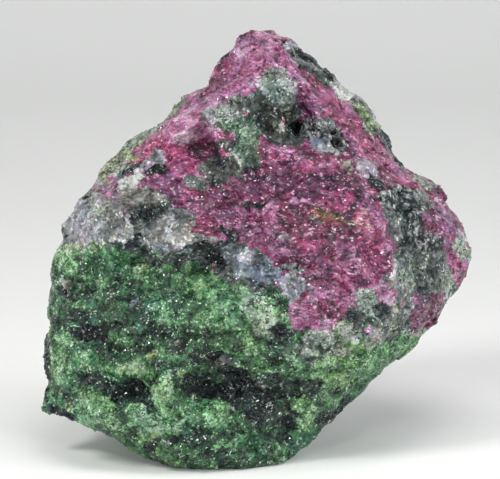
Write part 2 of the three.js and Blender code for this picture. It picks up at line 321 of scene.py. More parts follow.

# %% [markdown]
# Under the cap's edge the rock has broken back to soft green-grey zoisite, with black and white
# grains at its right end. Its depth is dark umber, partly its own olive brown and partly painted shade.

# %% The recess under the brow
recess = [
    ("pale sage", 1.7, (2, 44.2), (3.2, 43), (3.7, 41.4)),
    ("pale sage", 0.6, (0.6, 43.8), (2, 44.8), (3, 44.6)),
    ("white", 0.35, (2.4, 45), (4, 43.6)),
    ("sage", 0.7, (1, 42), (2.4, 41.6), (3.6, 42.4)),
    # Painted shade, with the stone's own olive brown: umber in the depth of the recess.
    ("umber", 0.8, (0.6, 41.8), (1.8, 40.9), (2.6, 40.5)),
    ("sage", 0.5, (3, 41.1), (3.9, 40.6)),
    ("umber", 0.8, (-1.8, 41.3), (0.5, 40.9), (1.6, 39.9)),
    ("soft leaf", 1.3, (-3.6, 39.7), (-2.7, 39.4), (-1.2, 38.6), (-0.4, 39)),
    ("rose", 0.4, (-5.8, 39.6), (-5, 39.2)),
    ("pale sage", 1, (-4.2, 40.6), (-2.8, 40.8)),
    ("soft leaf", 1.3, (-1.2, 37.6), (-1, 36), (-1.2, 34.8)),
    ("soft leaf", 0.9, (-0.8, 37.4), (-0.6, 36)),
    ("pale sage", 0.5, (-2.4, 35.6), (-1.6, 34.8)),
    # Painted shade, with the stone's own olive brown: umber low in the recess.
    ("umber", 0.9, (1.6, 38.4), (2.4, 37.6), (4.6, 37.5)),
    ("pale sage", 0.55, (2.6, 39.1), (2.7, 38.8)),
    ("slate", 0.9, (4, 38.9), (5.2, 38.9)),
    ("pale sage", 0.4, (-2.7, 42.4), (-1.6, 42.3)),
    # Painted light: pale rose over a hollow that falls in shade, to lift it.
    ("rose", 0.9, (-8.6, 37.9), (-7.2, 38.5), (-6, 38.7)),
    ("wine", 1.1, (-6.4, 36.4), (-5.4, 36.3)),
    ("mauve", 0.4, (-6.2, 36.8), (-5.9, 36.6)),
    ("umber", 0.6, (-4.4, 37), (-3.5, 36.9), (-3, 36.5)),
    ("umber", 0.9, (-5.6, 34.3), (-2.8, 34.6)),
    ("slate", 0.5, (-4.8, 35.6), (-3.6, 34.6)),
    ("mauve", 0.7, (0.4, 36.6), (0.8, 35.4)),
    ("salt", 1.2, (6.2, 38.6), (7.6, 38.8), (8.8, 38), (9.2, 37)),
    ("white", 0.25, (6.3, 39.8), (8.4, 39.7)),
    ("pale blue", 0.65, (6.7, 37.3), (7.8, 36.9)),
]
print(len(recess), "strokes in the recess")

# %% [markdown]
# Behind the peak a dark blade of hornblende shows, and a bright band of ruby runs down the edge
# with a thin green and blue-grey selvage outside it. A pale blue line on top of the blade and a rose
# line down the ridge are painted highlights, and a grey dab in a shaded pocket is painted light.

# %% The right edge, from the peak down to the shoulder
right_edge = [
    ("dark sage", 0.8, (4.6, 46.8), (6, 46), (7.4, 45), (8.4, 43.8)),
    ("black", 0.5, (3.2, 48.6), (5, 47.4), (6.8, 46.9), (7.8, 45.8), (8.9, 44.4)),
    ("black", 1.2, (5.2, 48.4), (7.6, 47.4), (9.6, 45.2)),
    # Painted highlight: a pale blue-white line along the top of the dark blade.
    ("pale blue", 0.22, (3.6, 48.7), (5.4, 48.2), (6.8, 47.2)),
    ("ruby", 0.9, (2.8, 47.4), (3.9, 45.9), (5.1, 44.8), (6.7, 43.4), (8.5, 42.1), (10, 40.9), (11, 39.7)),
    ("bright ruby", 0.6, (3.3, 46.6), (4.4, 45.4)),
    ("ruby", 0.95, (11, 39.7), (12, 38.2), (13.2, 36.8), (14.5, 35.6), (16, 34.2), (17.3, 33)),
    ("bright ruby", 0.5, (13.8, 35.6), (15, 34.8), (16.4, 33.6)),
    ("chalk", 0.75, (9.2, 43.7), (9.9, 42.7)),
    ("mauve", 0.8, (5, 43.2), (5.2, 41.8), (6.3, 40.5)),
    # Painted highlight: a thin rose line down the ridge, where its edge catches the light.
    ("rose", 0.22, (4.2, 45.4), (5.6, 43.9), (6.6, 42.7)),
    ("mauve", 0.6, (6.5, 42.2), (7.2, 40.8)),
    # Painted light: a grey dab to lift a pocket that lies in shadow.
    ("grey", 0.5, (4.2, 41.5), (5, 40.9)),
    ("mauve", 0.5, (9, 39.6), (10.2, 38), (11.2, 36.8)),
    ("sage", 0.8, (10.9, 42.6), (11.6, 41.4), (12.6, 40), (13.4, 38.8)),
    ("lime", 0.35, (11.8, 41.2), (12.6, 40), (14.2, 38.8)),
    ("pale blue", 0.4, (10.6, 43.4), (12.4, 42.4), (13.6, 40.8), (14.4, 39.4)),
    ("slate", 0.6, (14.4, 38.4), (15.4, 37), (16, 36), (16.9, 34.8)),
    ("mauve", 0.7, (11.2, 36.4), (12, 35.5)),
    ("lavender", 0.8, (12.1, 34.5), (13.3, 34)),
    ("sand", 0.5, (10.3, 34.7), (10.6, 33.3)),
    ("slate", 0.6, (13, 33.1), (14.1, 32.6)),
    ("wine", 0.6, (14.4, 34), (15, 33)),
    ("mauve", 1.1, (11.6, 33), (12.2, 31.4), (12.8, 30)),
]
print(len(right_edge), "strokes down the right edge")

# %% [markdown]
# The ledge is cloudy feldspar, grey to white, broken in steps with pale edges. Bits of ruby and
# dark grains lie in it. A few white dabs at its right end are painted glints.

# %% The feldspar ledge on the left
left_ledge = [
    ("grey", 2.6, (-18, 29), (-12, 29.5), (-7, 27.5)),
    ("grey", 1.2, (-22.6, 26.4), (-17, 26), (-12, 26), (-6, 25.8)),
    ("sand", 0.6, (-17.9, 32.8), (-17.4, 32.4)),
    ("speckle", 0.8, (-19.4, 31.4), (-18.2, 30.8)),
    ("pale blue", 1.7, (-20.9, 29.8), (-20.9, 28), (-20.2, 26.6)),
    ("slate", 0.35, (-22.3, 27.4), (-22.1, 26.6)),
    ("white", 1.7, (-17.6, 30), (-17.4, 27.6), (-16, 28.2), (-15.6, 27)),
    ("pale sage", 0.6, (-18.4, 29.8), (-17.4, 29.5)),
    ("lavender", 0.5, (-18.2, 28.1), (-17.2, 28)),
    ("dusky", 0.8, (-16, 31), (-14.9, 29.8), (-14.1, 29)),
    ("rose", 0.35, (-17.2, 31.8), (-16.6, 31.2)),
    ("pale blue", 0.5, (-19.4, 26), (-18.2, 25.8)),
    ("sand", 0.9, (-14.7, 31.4), (-12.7, 31), (-9.8, 31)),
    ("mauve", 0.7, (-10.4, 31.9), (-9.2, 31.4)),
    ("dark sage", 1, (-13.2, 29.6), (-11.6, 29.2), (-9.8, 29.8)),
    ("slate", 0.6, (-13.6, 28.8), (-12.6, 28.2)),
    ("dark sage", 0.7, (-13.5, 27.8), (-12, 28.4)),
    ("grey", 0.8, (-7.4, 32.8), (-6.2, 32)),
    ("mauve", 0.9, (-9, 30.2), (-7, 29.8)),
    ("grey", 0.9, (-9.6, 29), (-8.2, 28.6)),
    ("crimson", 1.2, (-6.4, 28.4), (-5.3, 28.4), (-5.1, 27.7)),
    ("crimson", 0.8, (-5.9, 31), (-4.6, 30.9)),
    ("white", 1.3, (-11.6, 26.8), (-9.6, 27.6), (-8.6, 26.4), (-8.8, 25.8)),
    ("chalk", 0.5, (-10, 26.2), (-8.8, 25.6)),
    ("grey", 0.8, (-17.6, 28.2), (-16.6, 27.4)),
    ("sand", 0.7, (-7.9, 27.2), (-7.2, 26.2)),
    ("lavender", 0.5, (-8.6, 25.4), (-9.4, 25.2)),
    ("black", 0.4, (-6.7, 25.9), (-5.7, 25.6)),
    # Painted glints: white dabs where small faces catch the light.
    ("white", 0.35, (-5, 26.4), (-3.2, 25.6)),
    ("chalk", 0.25, (-16.8, 25.9), (-15.2, 26.2), (-14.3, 26.8), (-14.2, 27.8), (-14.8, 28.9)),
    ("chalk", 0.22, (-10.3, 27.4), (-9.7, 26), (-8.4, 25.1), (-7.2, 25.7)),
]
print(len(left_ledge), "strokes on the left ledge")

# %% [markdown]
# The large face is ruby in mass: crimson to mauve crystals laid along its parting, with dark
# seams, a rusty stain and a few pale cleavages. Its broad crimson ground is darker partly as painted
# shade, because the face turns down from the light, the ledge that faces up is painted crimson as
# shade against the overhead lamp, and a few pale rose dabs are painted glints.

# %% The ruby face
ruby_face = [
    # Painted shade, over the face's own crimson: a broad dark crimson ground, as the face turns down from
    # the light.
    ("crimson", 3, (0, 31), (5, 30), (9, 31)),
    ("mauve", 2.2, (-3.4, 30), (-0.6, 28.4), (2.2, 27)),
    ("wine", 0.5, (-0.4, 28.8), (1.4, 28), (2.6, 28.2)),
    ("wine", 0.7, (-3.8, 29), (-2.6, 28.6)),
    ("wine", 0.5, (6.6, 27.6), (7.8, 26.8)),
    ("umber", 1.1, (-4.6, 33.2), (-2.4, 32.9)),
    ("slate", 0.5, (-5, 32.6), (-3.8, 32.4)),
    ("mauve", 1.1, (-3, 32), (-1.8, 29.6)),
    ("wine", 0.9, (-1, 33.4), (1, 33.4), (3.4, 33.2)),
    ("crimson", 1.2, (-0.8, 31.8), (1, 31.2), (3.6, 31.4)),
    ("black", 0.4, (-1.2, 30), (0.3, 29.9)),
    ("wine", 0.6, (-3.6, 30.6), (-2.2, 30.8)),
    ("black", 0.5, (-3.6, 27.5), (-2.8, 26.9)),
    ("crimson", 1.6, (4, 32.4), (6.4, 32.2), (9, 33)),
    ("ruby", 0.8, (1.8, 36), (3.6, 36)),
    ("mauve", 0.8, (1.4, 34.4), (3.4, 34.2)),
    # Painted shade: crimson along the ledge that faces up, to darken what the overhead lamp lights.
    ("crimson", 0.8, (4.6, 35.7), (8, 35.6)),
    ("ember", 0.4, (6.6, 35.9), (8.2, 35.3)),
    ("coral", 0.8, (5.4, 34.3), (8.4, 34.4)),
    ("wine", 0.4, (4, 33.4), (7, 33.3)),
    ("grey", 0.35, (7, 32), (8.2, 31.4)),
    ("magenta", 0.7, (8.8, 30.9), (10.4, 30.7)),
    ("bright ruby", 0.8, (1.3, 29.6), (2.1, 28.8)),
    ("rose", 0.6, (4.4, 30.4), (5.4, 29.8)),
    ("wine", 1.2, (3.6, 28.8), (5, 29), (5, 28)),
    ("coral", 0.6, (7, 30.2), (10, 29.8)),
    ("rusty", 0.9, (6.8, 29), (8.2, 28.2), (11, 28.4)),
    ("ember", 0.7, (8.2, 27.9), (9.4, 27.7)),
    ("wine", 1, (8.6, 26.6), (10.8, 26.9)),
    ("coral", 0.9, (12, 28.6), (12.8, 27.8)),
    ("rose", 0.5, (14.1, 28.4), (14.2, 27.4)),
    ("mauve", 0.8, (2.4, 27), (1.4, 25.6)),
    ("dusky", 0.35, (2, 26.8), (3.4, 26.5)),
    ("crimson", 1.3, (4.6, 26.9), (6.4, 26.3), (7.2, 25.4), (5.2, 25)),
    ("magenta", 0.5, (4.4, 25.2), (6.8, 25.6)),
    ("rose", 0.2, (3.4, 24.3), (4.6, 24.2), (6, 24.5)),
    ("wine", 0.35, (3, 23.9), (5.4, 24), (8, 24.7)),
    # Painted glints: pale rose where small faces catch the light.
    ("rose", 0.4, (2.8, 24.6), (4.2, 24.9)),
    ("ruby", 0.9, (13.4, 26.6), (14.4, 25.2)),
    ("magenta", 1, (12.2, 25), (12.6, 23.6)),
    ("rose", 0.8, (11.3, 24.2), (10.7, 23)),
    ("mauve", 0.8, (9.4, 25.4), (9.6, 24.2)),
    ("mauve", 1.3, (6, 22.8), (8.4, 22.4)),
    ("mauve", 1.3, (5.6, 20.4), (8, 20.2), (7, 19)),
    ("ruby", 1.1, (9.6, 21.2), (10.4, 19.6)),
    ("crimson", 0.7, (11.6, 21.6), (12.4, 21.8)),
    ("ruby", 0.8, (12.8, 22.8), (13.6, 22.6)),
    ("crimson", 0.8, (7.6, 18.6), (8.6, 18)),
    ("bright ruby", 0.8, (4.9, 17.4), (5.4, 16.6)),
    ("bright ruby", 0.9, (6.4, 16.9), (8, 16.5)),
    ("wine", 0.5, (9.3, 17.4), (9.8, 17.6)),
    ("bright ruby", 0.5, (14.5, 21.6), (14.7, 20.2), (15.2, 19.2)),
    ("rose", 0.4, (14, 19.6), (14.4, 18.7)),
]
print(len(ruby_face), "strokes on the ruby face")

# %% [markdown]
# Thin veins of feldspar follow the border of the ruby. The widest is a blue-grey band between the
# ruby and the green zoisite.

# %% The feldspar veins and the blue-grey band
veins = [
    ("flecked slate", 1.2, (-7, 24.7), (-4.9, 24.4), (-3.4, 24.8)),
    ("dark sage", 1.1, (-3.6, 22.6), (-2, 21.6), (0, 21)),
    ("speckle", 0.6, (-4, 25.6), (-2.8, 26.4)),
    ("blue grey", 1.2, (-2.8, 24.6), (-1, 23.9), (0.8, 23.2)),
    ("pale blue", 0.25, (-2.4, 24.4), (-0.8, 23.9)),
    ("blue grey", 1, (-1.6, 22.9), (0.4, 22.6), (1.8, 22.4)),
    ("white", 0.4, (-2.4, 25.6), (-1.4, 25.5)),
    ("wine", 0.5, (2.6, 23.6), (4.8, 23.4)),
    ("speckle", 0.45, (3, 22.9), (4.6, 23)),
    ("pale blue", 0.9, (3.6, 21.5), (4.6, 21), (4, 19.6)),
    ("white", 0.4, (3.6, 21.2), (4.6, 21.5)),
    ("white", 0.4, (13.9, 31.4), (15.3, 31.3)),
    ("mauve", 0.5, (14.8, 29.8), (15.4, 27.4), (15.2, 25), (14.8, 23)),
    ("white", 0.28, (15, 29.6), (15.8, 27.4), (15.7, 25.4)),
    ("chalk", 0.2, (14.4, 31), (15.2, 29.8)),
    # Painted glint: a white dab where a small face catches the light.
    ("white", 0.3, (13.2, 20.6), (13.8, 20.8)),
    ("crimson", 0.35, (15.8, 24), (15.9, 22)),
    ("pale sage", 1.1, (12.3, 19.6), (12.9, 18.4)),
    ("grey", 0.5, (15, 22), (16.4, 20.6), (16, 19.4)),
]
print(len(veins), "strokes of vein")

# %% [markdown]
# To the right of the ruby the stone turns away to a darker face of hornblende, feldspar and
# sage-green zoisite, with more ruby on the shoulder.

# %% The dark right face and the right shoulder
right_face = [
    ("grey", 3, (17.6, 29), (18.8, 25), (18.4, 21.5)),
    ("speckle", 1.6, (15.8, 30.8), (17.2, 30), (18, 28.2), (17.6, 26.6)),
    ("black", 0.8, (16.4, 29.4), (17, 28.7)),
    ("grey", 0.3, (15.4, 29.2), (16.6, 28.2)),
    ("speckle", 0.7, (16.6, 31.8), (18.6, 31)),
    ("grey", 0.7, (19.2, 31.2), (19.5, 30)),
    ("mauve", 1, (20, 29), (21.4, 27.4)),
    ("wine", 0.7, (19.4, 27.6), (20.4, 27.2)),
    ("pale sage", 0.4, (18.6, 33.1), (19.6, 32.4), (20.6, 32.1)),
    ("mauve", 0.8, (20.2, 31.5), (21.5, 29.9), (22.3, 28.5), (23, 27.4)),
    ("rose", 0.3, (20.8, 30.8), (21.6, 29.4)),
    ("mauve", 0.7, (21, 25.9), (22, 25.2)),
    ("lavender", 0.4, (23.6, 27), (24.6, 25.9)),
    ("pale sage", 0.8, (23.4, 25.6), (24, 24.5)),
    ("ruby", 0.55, (22.6, 24.4), (23.6, 22.8), (23.5, 21.9)),
    ("black", 0.8, (16.8, 25.4), (18, 24.9)),
    ("speckle", 0.9, (18.8, 25.2), (20.6, 25.6)),
    ("dark sage", 1.1, (17.2, 24.6), (17.2, 23)),
    ("sage", 0.9, (17.2, 21.8), (17.6, 21)),
    ("dark sage", 1.2, (19.4, 23.6), (20, 22), (19.4, 20.6)),
    ("grey", 0.7, (21.2, 23.6), (21.6, 22.6)),
    ("pale sage", 0.8, (22, 21.6), (22.2, 20.3)),
    ("grey", 0.9, (16.8, 19.8), (17.7, 18.8)),
    ("mauve", 0.6, (18.5, 19.2), (18.8, 18.4)),
    ("slate", 0.9, (13.8, 18.1), (15.6, 17.8), (17, 17.4)),
    ("dark sage", 1.6, (14.6, 17), (16.6, 16), (14.8, 15.4)),
    ("sage", 0.6, (15.4, 15.6), (17, 15.4)),
    ("white", 0.3, (15.8, 25), (15.9, 22.1), (14.3, 19.4), (16.2, 17.9), (18.2, 17.5)),
    ("white", 0.25, (11.8, 16.6), (12.3, 15), (13.2, 13.9)),
    ("crimson", 1.1, (18.4, 16.8), (19.8, 16.9), (20.6, 18.4)),
    ("crimson", 0.7, (20.4, 19.4), (21.4, 18)),
    ("lavender", 0.3, (21.8, 19.4), (22.3, 18.4), (21.9, 17.2)),
    ("sand", 0.5, (17.6, 15.2), (18.8, 14.8)),
    ("grey", 0.5, (11.2, 18.2), (12, 17.2)),
    ("dark sage", 0.5, (10.8, 17.4), (11.4, 16.4), (12, 15.6)),
    ("rose", 0.5, (12.6, 15.9), (13.2, 15.5)),
    ("bright ruby", 0.7, (14.4, 20.8), (14.9, 19.4)),
    ("sand", 0.6, (13.2, 15.6), (13.6, 14.9)),
]
print(len(right_face), "strokes on the right face")

# %% [markdown]
# Low on the left the rock is granular zoisite, from deep to bright green, with pale lumps, dark
# blades and a few sandy grains in it. A dark slate line under the ledge's lip is partly painted
# shadow.

# %% The green face
green_face = [
    ("frosty leaf", 0.7, (-22.8, 24.6), (-20.4, 25)),
    ("lime", 0.3, (-22.4, 24.9), (-21.8, 25.2)),
    ("lime", 0.5, (-18.6, 25.4), (-17.8, 25.3)),
    # Partly painted shadow: dark slate under the ledge's lip, where it overhangs the green.
    ("flecked slate", 0.6, (-16, 25.2), (-14.4, 25.5), (-12.9, 25)),
    ("blue grey", 0.45, (-11.6, 25.2), (-10, 24.9)),
    # Partly painted shadow: dark sage along the foot of the ledge's overhang.
    ("dark sage", 0.5, (-12.6, 23.9), (-10, 24), (-8, 23.9)),
    ("leaf", 1.3, (-17.4, 23.8), (-14.4, 23.4)),
    ("pale leaf", 1.1, (-21.4, 23), (-22.6, 23.9)),
    ("pale leaf", 0.5, (-13.6, 22.8), (-12.7, 23)),
    ("pale sage", 0.45, (-22.1, 21.1), (-21.7, 20.9)),
    ("black", 0.65, (-22.1, 20.2), (-21.3, 19.4)),
    ("bright leaf", 0.8, (-19.6, 21.4), (-17.6, 21.8)),
    ("deep green", 1, (-18.5, 19.6), (-14.4, 20.4), (-13, 18)),
    ("deep green", 1.6, (-19, 17.4), (-13.4, 16.6)),
    ("slate", 0.6, (-13.8, 18.9), (-12.4, 18.9)),
    ("deep green", 0.9, (-12.4, 18.6), (-11.2, 18.4)),
    ("black", 0.55, (-20.8, 17.6), (-19.2, 17.5)),
    ("black", 0.9, (-20.6, 15.5), (-18.8, 15.6), (-18, 14.9)),
    ("bright leaf", 1.6, (-7.4, 20), (-5, 19.4), (-2.2, 19.4)),
    ("leaf", 1.2, (-10.4, 21.6), (-8.6, 20.4)),
    ("bright leaf", 0.9, (-10.4, 17.4), (-8.8, 16.8)),
    ("bright leaf", 1.8, (-4.8, 17.4), (-2.4, 16.8)),
    ("leaf", 0.7, (-7.8, 19.6), (-7, 18.8)),
    ("frosty leaf", 1.5, (-0.4, 18.6), (0.5, 17.6), (1, 16.4)),
    ("lime", 0.3, (-4.2, 16.8), (-4, 16.5)),
    ("pale leaf", 0.9, (-1.2, 14.6), (-0.4, 13.8)),
    ("deep green", 0.9, (2, 20.4), (3, 18.8)),
    ("black", 0.9, (2.4, 15.8), (3.4, 15.2)),
    ("deep green", 1.2, (2.2, 14.2), (3.4, 13.4)),
    ("deep green", 1, (-11.8, 15.6), (-10.4, 15.6), (-8.4, 15.4)),
    ("black", 0.55, (-12.4, 13.4), (-11.9, 13.4)),
    ("lime", 0.4, (-12.2, 12.7), (-11.6, 12.9)),
    ("hollow", 0.6, (-9.8, 13.6), (-8.6, 13.8)),
    ("hollow", 0.8, (-7, 13), (-5, 13), (-3.2, 12.4)),
    ("umber", 0.45, (-4.6, 12), (-3, 12)),
    ("pale sage", 0.9, (9.8, 15.9), (10.8, 15.1)),
    ("pale sage", 0.9, (6.2, 15), (8, 15)),
    ("pale sage", 0.6, (8.4, 13.2), (9.8, 13.4)),
    ("white", 0.25, (8.8, 13.9), (9.8, 14.2)),
    ("soft leaf", 1.2, (4, 13.2), (5.6, 12.6)),
    ("pale sage", 0.5, (5, 13.9), (6.6, 13.4)),
    ("pale leaf", 0.6, (3.6, 12.4), (5, 12)),
    ("pale leaf", 0.6, (7, 12.2), (8.6, 12.4)),
    ("vivid leaf", 1.5, (10.6, 13), (13, 12.8), (15.6, 13.2), (17.4, 13.8)),
    ("vivid leaf", 1.2, (9.6, 11), (12.2, 11.4), (14.4, 11.8)),
    ("bright leaf", 1, (6.6, 10.6), (8.8, 9.8), (10.4, 9.8)),
    ("pale sage", 0.6, (9, 13.5), (10, 13.2)),
]
print(len(green_face), "strokes on the green face")

# %% [markdown]
# Near the foot the soft dark blades have broken out and left hollows, and pale green lumps stand
# between them.

# %% The hollows and lumps along the foot
foot_strokes = [
    ("slate", 0.4, (-24.4, 15), (-24.5, 12.8), (-24.2, 11.4)),
    ("slate", 0.35, (-24.2, 10.2), (-24.3, 8.2)),
    ("pale leaf", 0.7, (-22.3, 14.9), (-21.8, 14.5)),
    ("pale leaf", 1, (-23, 13), (-22.8, 10.6)),
    ("deep green", 1, (-20.7, 13.2), (-20.2, 11.8)),
    ("deep green", 1, (-17.6, 13.4), (-15, 13)),
    ("leaf", 1, (-20, 12.6), (-18.4, 12.2)),
    ("pale leaf", 0.7, (-15.2, 11.2), (-13.6, 11.5)),
    ("hollow", 0.7, (-19.8, 10), (-18.2, 10.3), (-16.8, 9.6)),
    ("hollow", 0.95, (-16.4, 8.4), (-15, 8.9), (-13.4, 9.4), (-12.6, 8.2), (-12.4, 7.4)),
    ("black", 0.45, (-16.2, 8.2), (-14.8, 8.6), (-13, 7.6)),
    ("pale leaf", 0.7, (-19.8, 8.2), (-18.8, 8)),
    # Painted shade: deep green to darken a spot that the low left lamp lights.
    ("deep green", 0.7, (-21.3, 8.5), (-20.7, 7.9)),
    ("deep green", 0.6, (-11, 11.6), (-9.8, 11.4)),
    ("pale leaf", 0.6, (-10.4, 10.2), (-10.4, 9.4)),
    ("pale leaf", 1.3, (-10.6, 8.8), (-10.2, 7.8)),
    ("bright leaf", 0.7, (-9, 8.4), (-8.6, 7.4)),
    ("lime", 0.3, (-8.8, 11), (-7.8, 10.9)),
    # Partly painted light: spring green, the lump's own vivid green lifted because the lump faces down into
    # shade.
    ("spring", 1.4, (-19.2, 6.3), (-17.8, 7.2), (-16.8, 6)),
    ("leaf", 0.5, (-15.7, 6.2), (-15.2, 4.4)),
    ("pale leaf", 1.3, (-13.6, 6.2), (-12, 5), (-10.4, 5.8), (-8.8, 5.6)),
    ("pale leaf", 1.1, (-12.4, 4.4), (-11.2, 4.9)),
    ("lime", 0.4, (-12, 3.6), (-11.4, 4)),
    ("lime", 0.35, (-21.5, 7), (-20.7, 6.3)),
    ("slate", 0.6, (-23.6, 6.9), (-22.4, 6.4), (-21.4, 6)),
    ("hollow", 1.3, (-7.4, 9.8), (-5.4, 9.2), (-3.4, 10.4), (-1, 9.6), (1.2, 9.9), (3.4, 9.2), (6.4, 9)),
    ("hollow", 1.1, (-3.2, 7.8), (0, 7.4), (2.4, 6.8), (3.6, 6)),
    ("black", 0.6, (-6.8, 9.2), (-4.8, 9.1), (-3.6, 9.8), (-2, 8.8)),
    ("black", 0.45, (0.4, 8.6), (2.2, 8.4), (4.4, 9)),
    ("deep green", 0.4, (-5.6, 10.6), (-4.4, 10.3)),
    ("deep green", 0.35, (-1, 10.9), (0.6, 10.7)),
    ("deep green", 0.4, (2.4, 7.8), (3.6, 7.6)),
    ("hollow", 0.8, (-0.4, 6), (1.6, 5.2), (3.4, 4.8)),
    ("grey", 0.35, (0.2, 9.8), (1, 9.2)),
    ("deep green", 1, (-7.4, 5.2), (-3, 4.4)),
    ("bright leaf", 1.5, (-6.4, 6.4), (-4.6, 6.6), (-5, 5.6)),
    ("pale leaf", 0.7, (-6.2, 6.2), (-5, 6.8)),
    ("bright leaf", 0.9, (4.8, 7.4), (6, 7), (5.6, 5.4)),
    ("leaf", 0.7, (6.8, 8), (7.6, 7.4)),
    ("black", 0.6, (2.4, 3.6), (3.6, 3.2)),
    ("black", 0.45, (-9.6, 3.2), (-8.4, 3.7)),
    ("black", 0.45, (-12.6, 2.6), (-11.5, 2.8)),
    ("deep green", 0.6, (-8, 4), (-6.4, 3.6)),
    ("pale leaf", 0.5, (-4.8, 2.7), (-3.2, 3)),
    ("lime", 0.5, (-7, 2.2), (-6.8, 1.8)),
    ("leaf", 1, (-0.6, 3.4), (1.4, 2.4)),
    ("teal", 0.8, (4.4, 2.8), (5.6, 4), (6.6, 4.8)),
    ("deep green", 0.7, (-3.6, 1.8), (-6, 1.6)),
    ("slate", 0.4, (10.6, 7.8), (9.6, 6.9), (8.6, 6)),
    ("black", 0.6, (8.2, 5.9), (6.9, 5.3)),
]
strokes = (
    ruby_cap + recess + right_edge + left_ledge + ruby_face
    + veins + right_face + green_face + foot_strokes
)
print(len(strokes), "strokes in all")

# %% [markdown]
# Below a wandering line the rock is mostly zoisite, and above it ruby with feldspar. The strokes
# lie over that. The hidden sides and back have no strokes: there, blocks of a few millimetres each
# take one mix, by the same rule of green below and ruby above, so the stone is finished all round.
# The edges of strokes and blocks wander and scatter, because crystals grow across a border.

# %% Which mix lies at a point
contact_line = [
    (-26, 25.5), (-19, 25.2), (-14, 26), (-9, 24.8), (-6.5, 24.6), (-4.8, 22.4),
    (0, 21), (3.2, 19), (4, 15.6), (8, 15.8), (10, 17.4), (12, 19), (16, 19), (19, 16), (26, 15),
]
BACK_BLOCK = 7.5
SMALL_BLOCK = 2.4
SMALL_SHARE = 0.35
BORDER_WANDER = 6
BLOCK_WANDER = 2
SMALL_WANDER = 0.6
EDGE_WANDER = 0.32
# The teeth of a ragged edge: how wide in mm, and how strong.
TEETH = [(1.8, 1), (0.8, 0.7), (0.4, 0.5)]
SEEN_WANDER = 0.15
SEEN_LIMIT = -0.08
USUAL_HEADING = (0.8, 0.6)
mixes_above = [
    "ruby", "mauve", "crimson", "dusky", "mauve", "grey", "sage", "speckle", "rose", "wine", "umber",
]
mixes_below = [
    "leaf", "deep green", "bright leaf", "leaf", "deep green", "slate", "pale leaf", "black",
]


def near_stroke(view, points):
    """How far each place in the view is from a stroke's line, and which way the line runs there."""
    best = np.full(len(view), np.inf)
    heading = np.zeros((len(view), 2))
    for start, end in zip(points, points[1:]):
        along = np.subtract(end, start)
        length = np.hypot(*along)
        share = np.clip((view - start) @ along / length ** 2, 0, 1)
        far = np.linalg.norm(view - start - share[:, None] * along, axis=1)
        nearer = far < best
        best[nearer] = far[nearer]
        heading[nearer] = along / length
    return best, heading


def pick(names, value):
    """The mix that each value from 0 to 1 picks out of a list of names."""
    which = np.array([mix_names.index(name) for name in names])
    return which[(value * len(names)).astype(int).clip(0, len(names) - 1)]


def ragged(points, seed):
    """How far, from about -1 to 1, the edges of patches wander: slowly, and in small teeth."""
    teeth = enumerate(TEETH)
    return sum(part * drift(points, size, seed + 9 * step) for step, (size, part) in teeth)


def mix_at(points, normals, fuzz):
    """The mix at each point, and the way its stroke runs. fuzz is how far in mm edges scatter."""
    cell = own_cell(points)
    wander = np.stack([ragged(points, seed) for seed in (11, 12)], axis=1)
    scatter = np.stack([number(cell, seed) for seed in (13, 14)], 1) - 0.5
    flat = front_view(points)[:, :2] + EDGE_WANDER * wander + 2 * fuzz * scatter
    line = np.interp(flat[:, 0], *zip(*contact_line))
    block, _, _ = nearest_seed(points + BLOCK_WANDER * wander[:, [0, 1, 0]], BACK_BLOCK, 31)
    value = number(block, 35)
    block, _, _ = nearest_seed(points + SMALL_WANDER * wander[:, [1, 0, 1]], SMALL_BLOCK, 37)
    value = np.where(number(block, 41) < SMALL_SHARE, number(block, 42), value)
    border = line + BORDER_WANDER * drift(points, BACK_BLOCK, 17)
    found = np.where(flat[:, 1] > border, pick(mixes_above, value), pick(mixes_below, value))
    seen = normals @ TOWARDS_EYE + SEEN_WANDER * wander[:, 0] > SEEN_LIMIT
    body = np.where(flat[:, 1] > line, mix_names.index("ruby"), mix_names.index("leaf"))
    found[seen] = body[seen]
    heading = np.tile(USUAL_HEADING, (len(points), 1))
    for name, half_width, *path in strokes:
        far, way = near_stroke(flat, path)
        inside = seen & (far < half_width)
        found[inside] = mix_names.index(name)
        heading[inside] = way[inside]
    return found, heading


print("blocks of", BACK_BLOCK, "mm on the hidden sides")

# %% [markdown]
# A mix then has to become single grains. Light and dark grains come in clumps, and in the ruby
# they line up as streaks along its parting, so the tint is picked by a slow drift, a value of each
# crystal's own and a little chance together: low values take the mix's dark tints, and high values
# its pale ones. Where dark and white grains lie side by side like salt, the crystals decide.

# %% Which tint a grain takes
CLUMP = 1.3
FINE_CLUMP = 0.45 * CLUMP
FINE_CLUMP_PART = 0.6
CRYSTAL = 0.75
CRYSTAL_SHARE = 0.3
RUBY_CRYSTAL = 1.3
RUBY_SHARE = 0.45
STREAK_LENGTH = 3
STREAK_WIDTH = 0.7
STREAK_CLUMPING = 0.5
RUBY_CALM = 0.35
SALTY_CRYSTAL = 0.6 * CRYSTAL
SALTY_SHARE = 0.8
CLUMP_REACH = 0.9
WARM_PATCH = 3.2
LIGHT_PATCH = 2.2
LIGHT_SWING = 0.2
WARMTH = {
    "pale_zoisite": 0.14, "dark_zoisite": 0.14, "ruby": 0.1, "feldspar": 0.05, "hornblende": 0.05,
}
SALTY_MIXES = [mix_names.index(name) for name in ("speckle", "salt")]
RUBY_MIXES = [
    index for index, name in enumerate(mix_names)
    if "pink" in mixes[name][1] or "wine" in mixes[name][1]
]


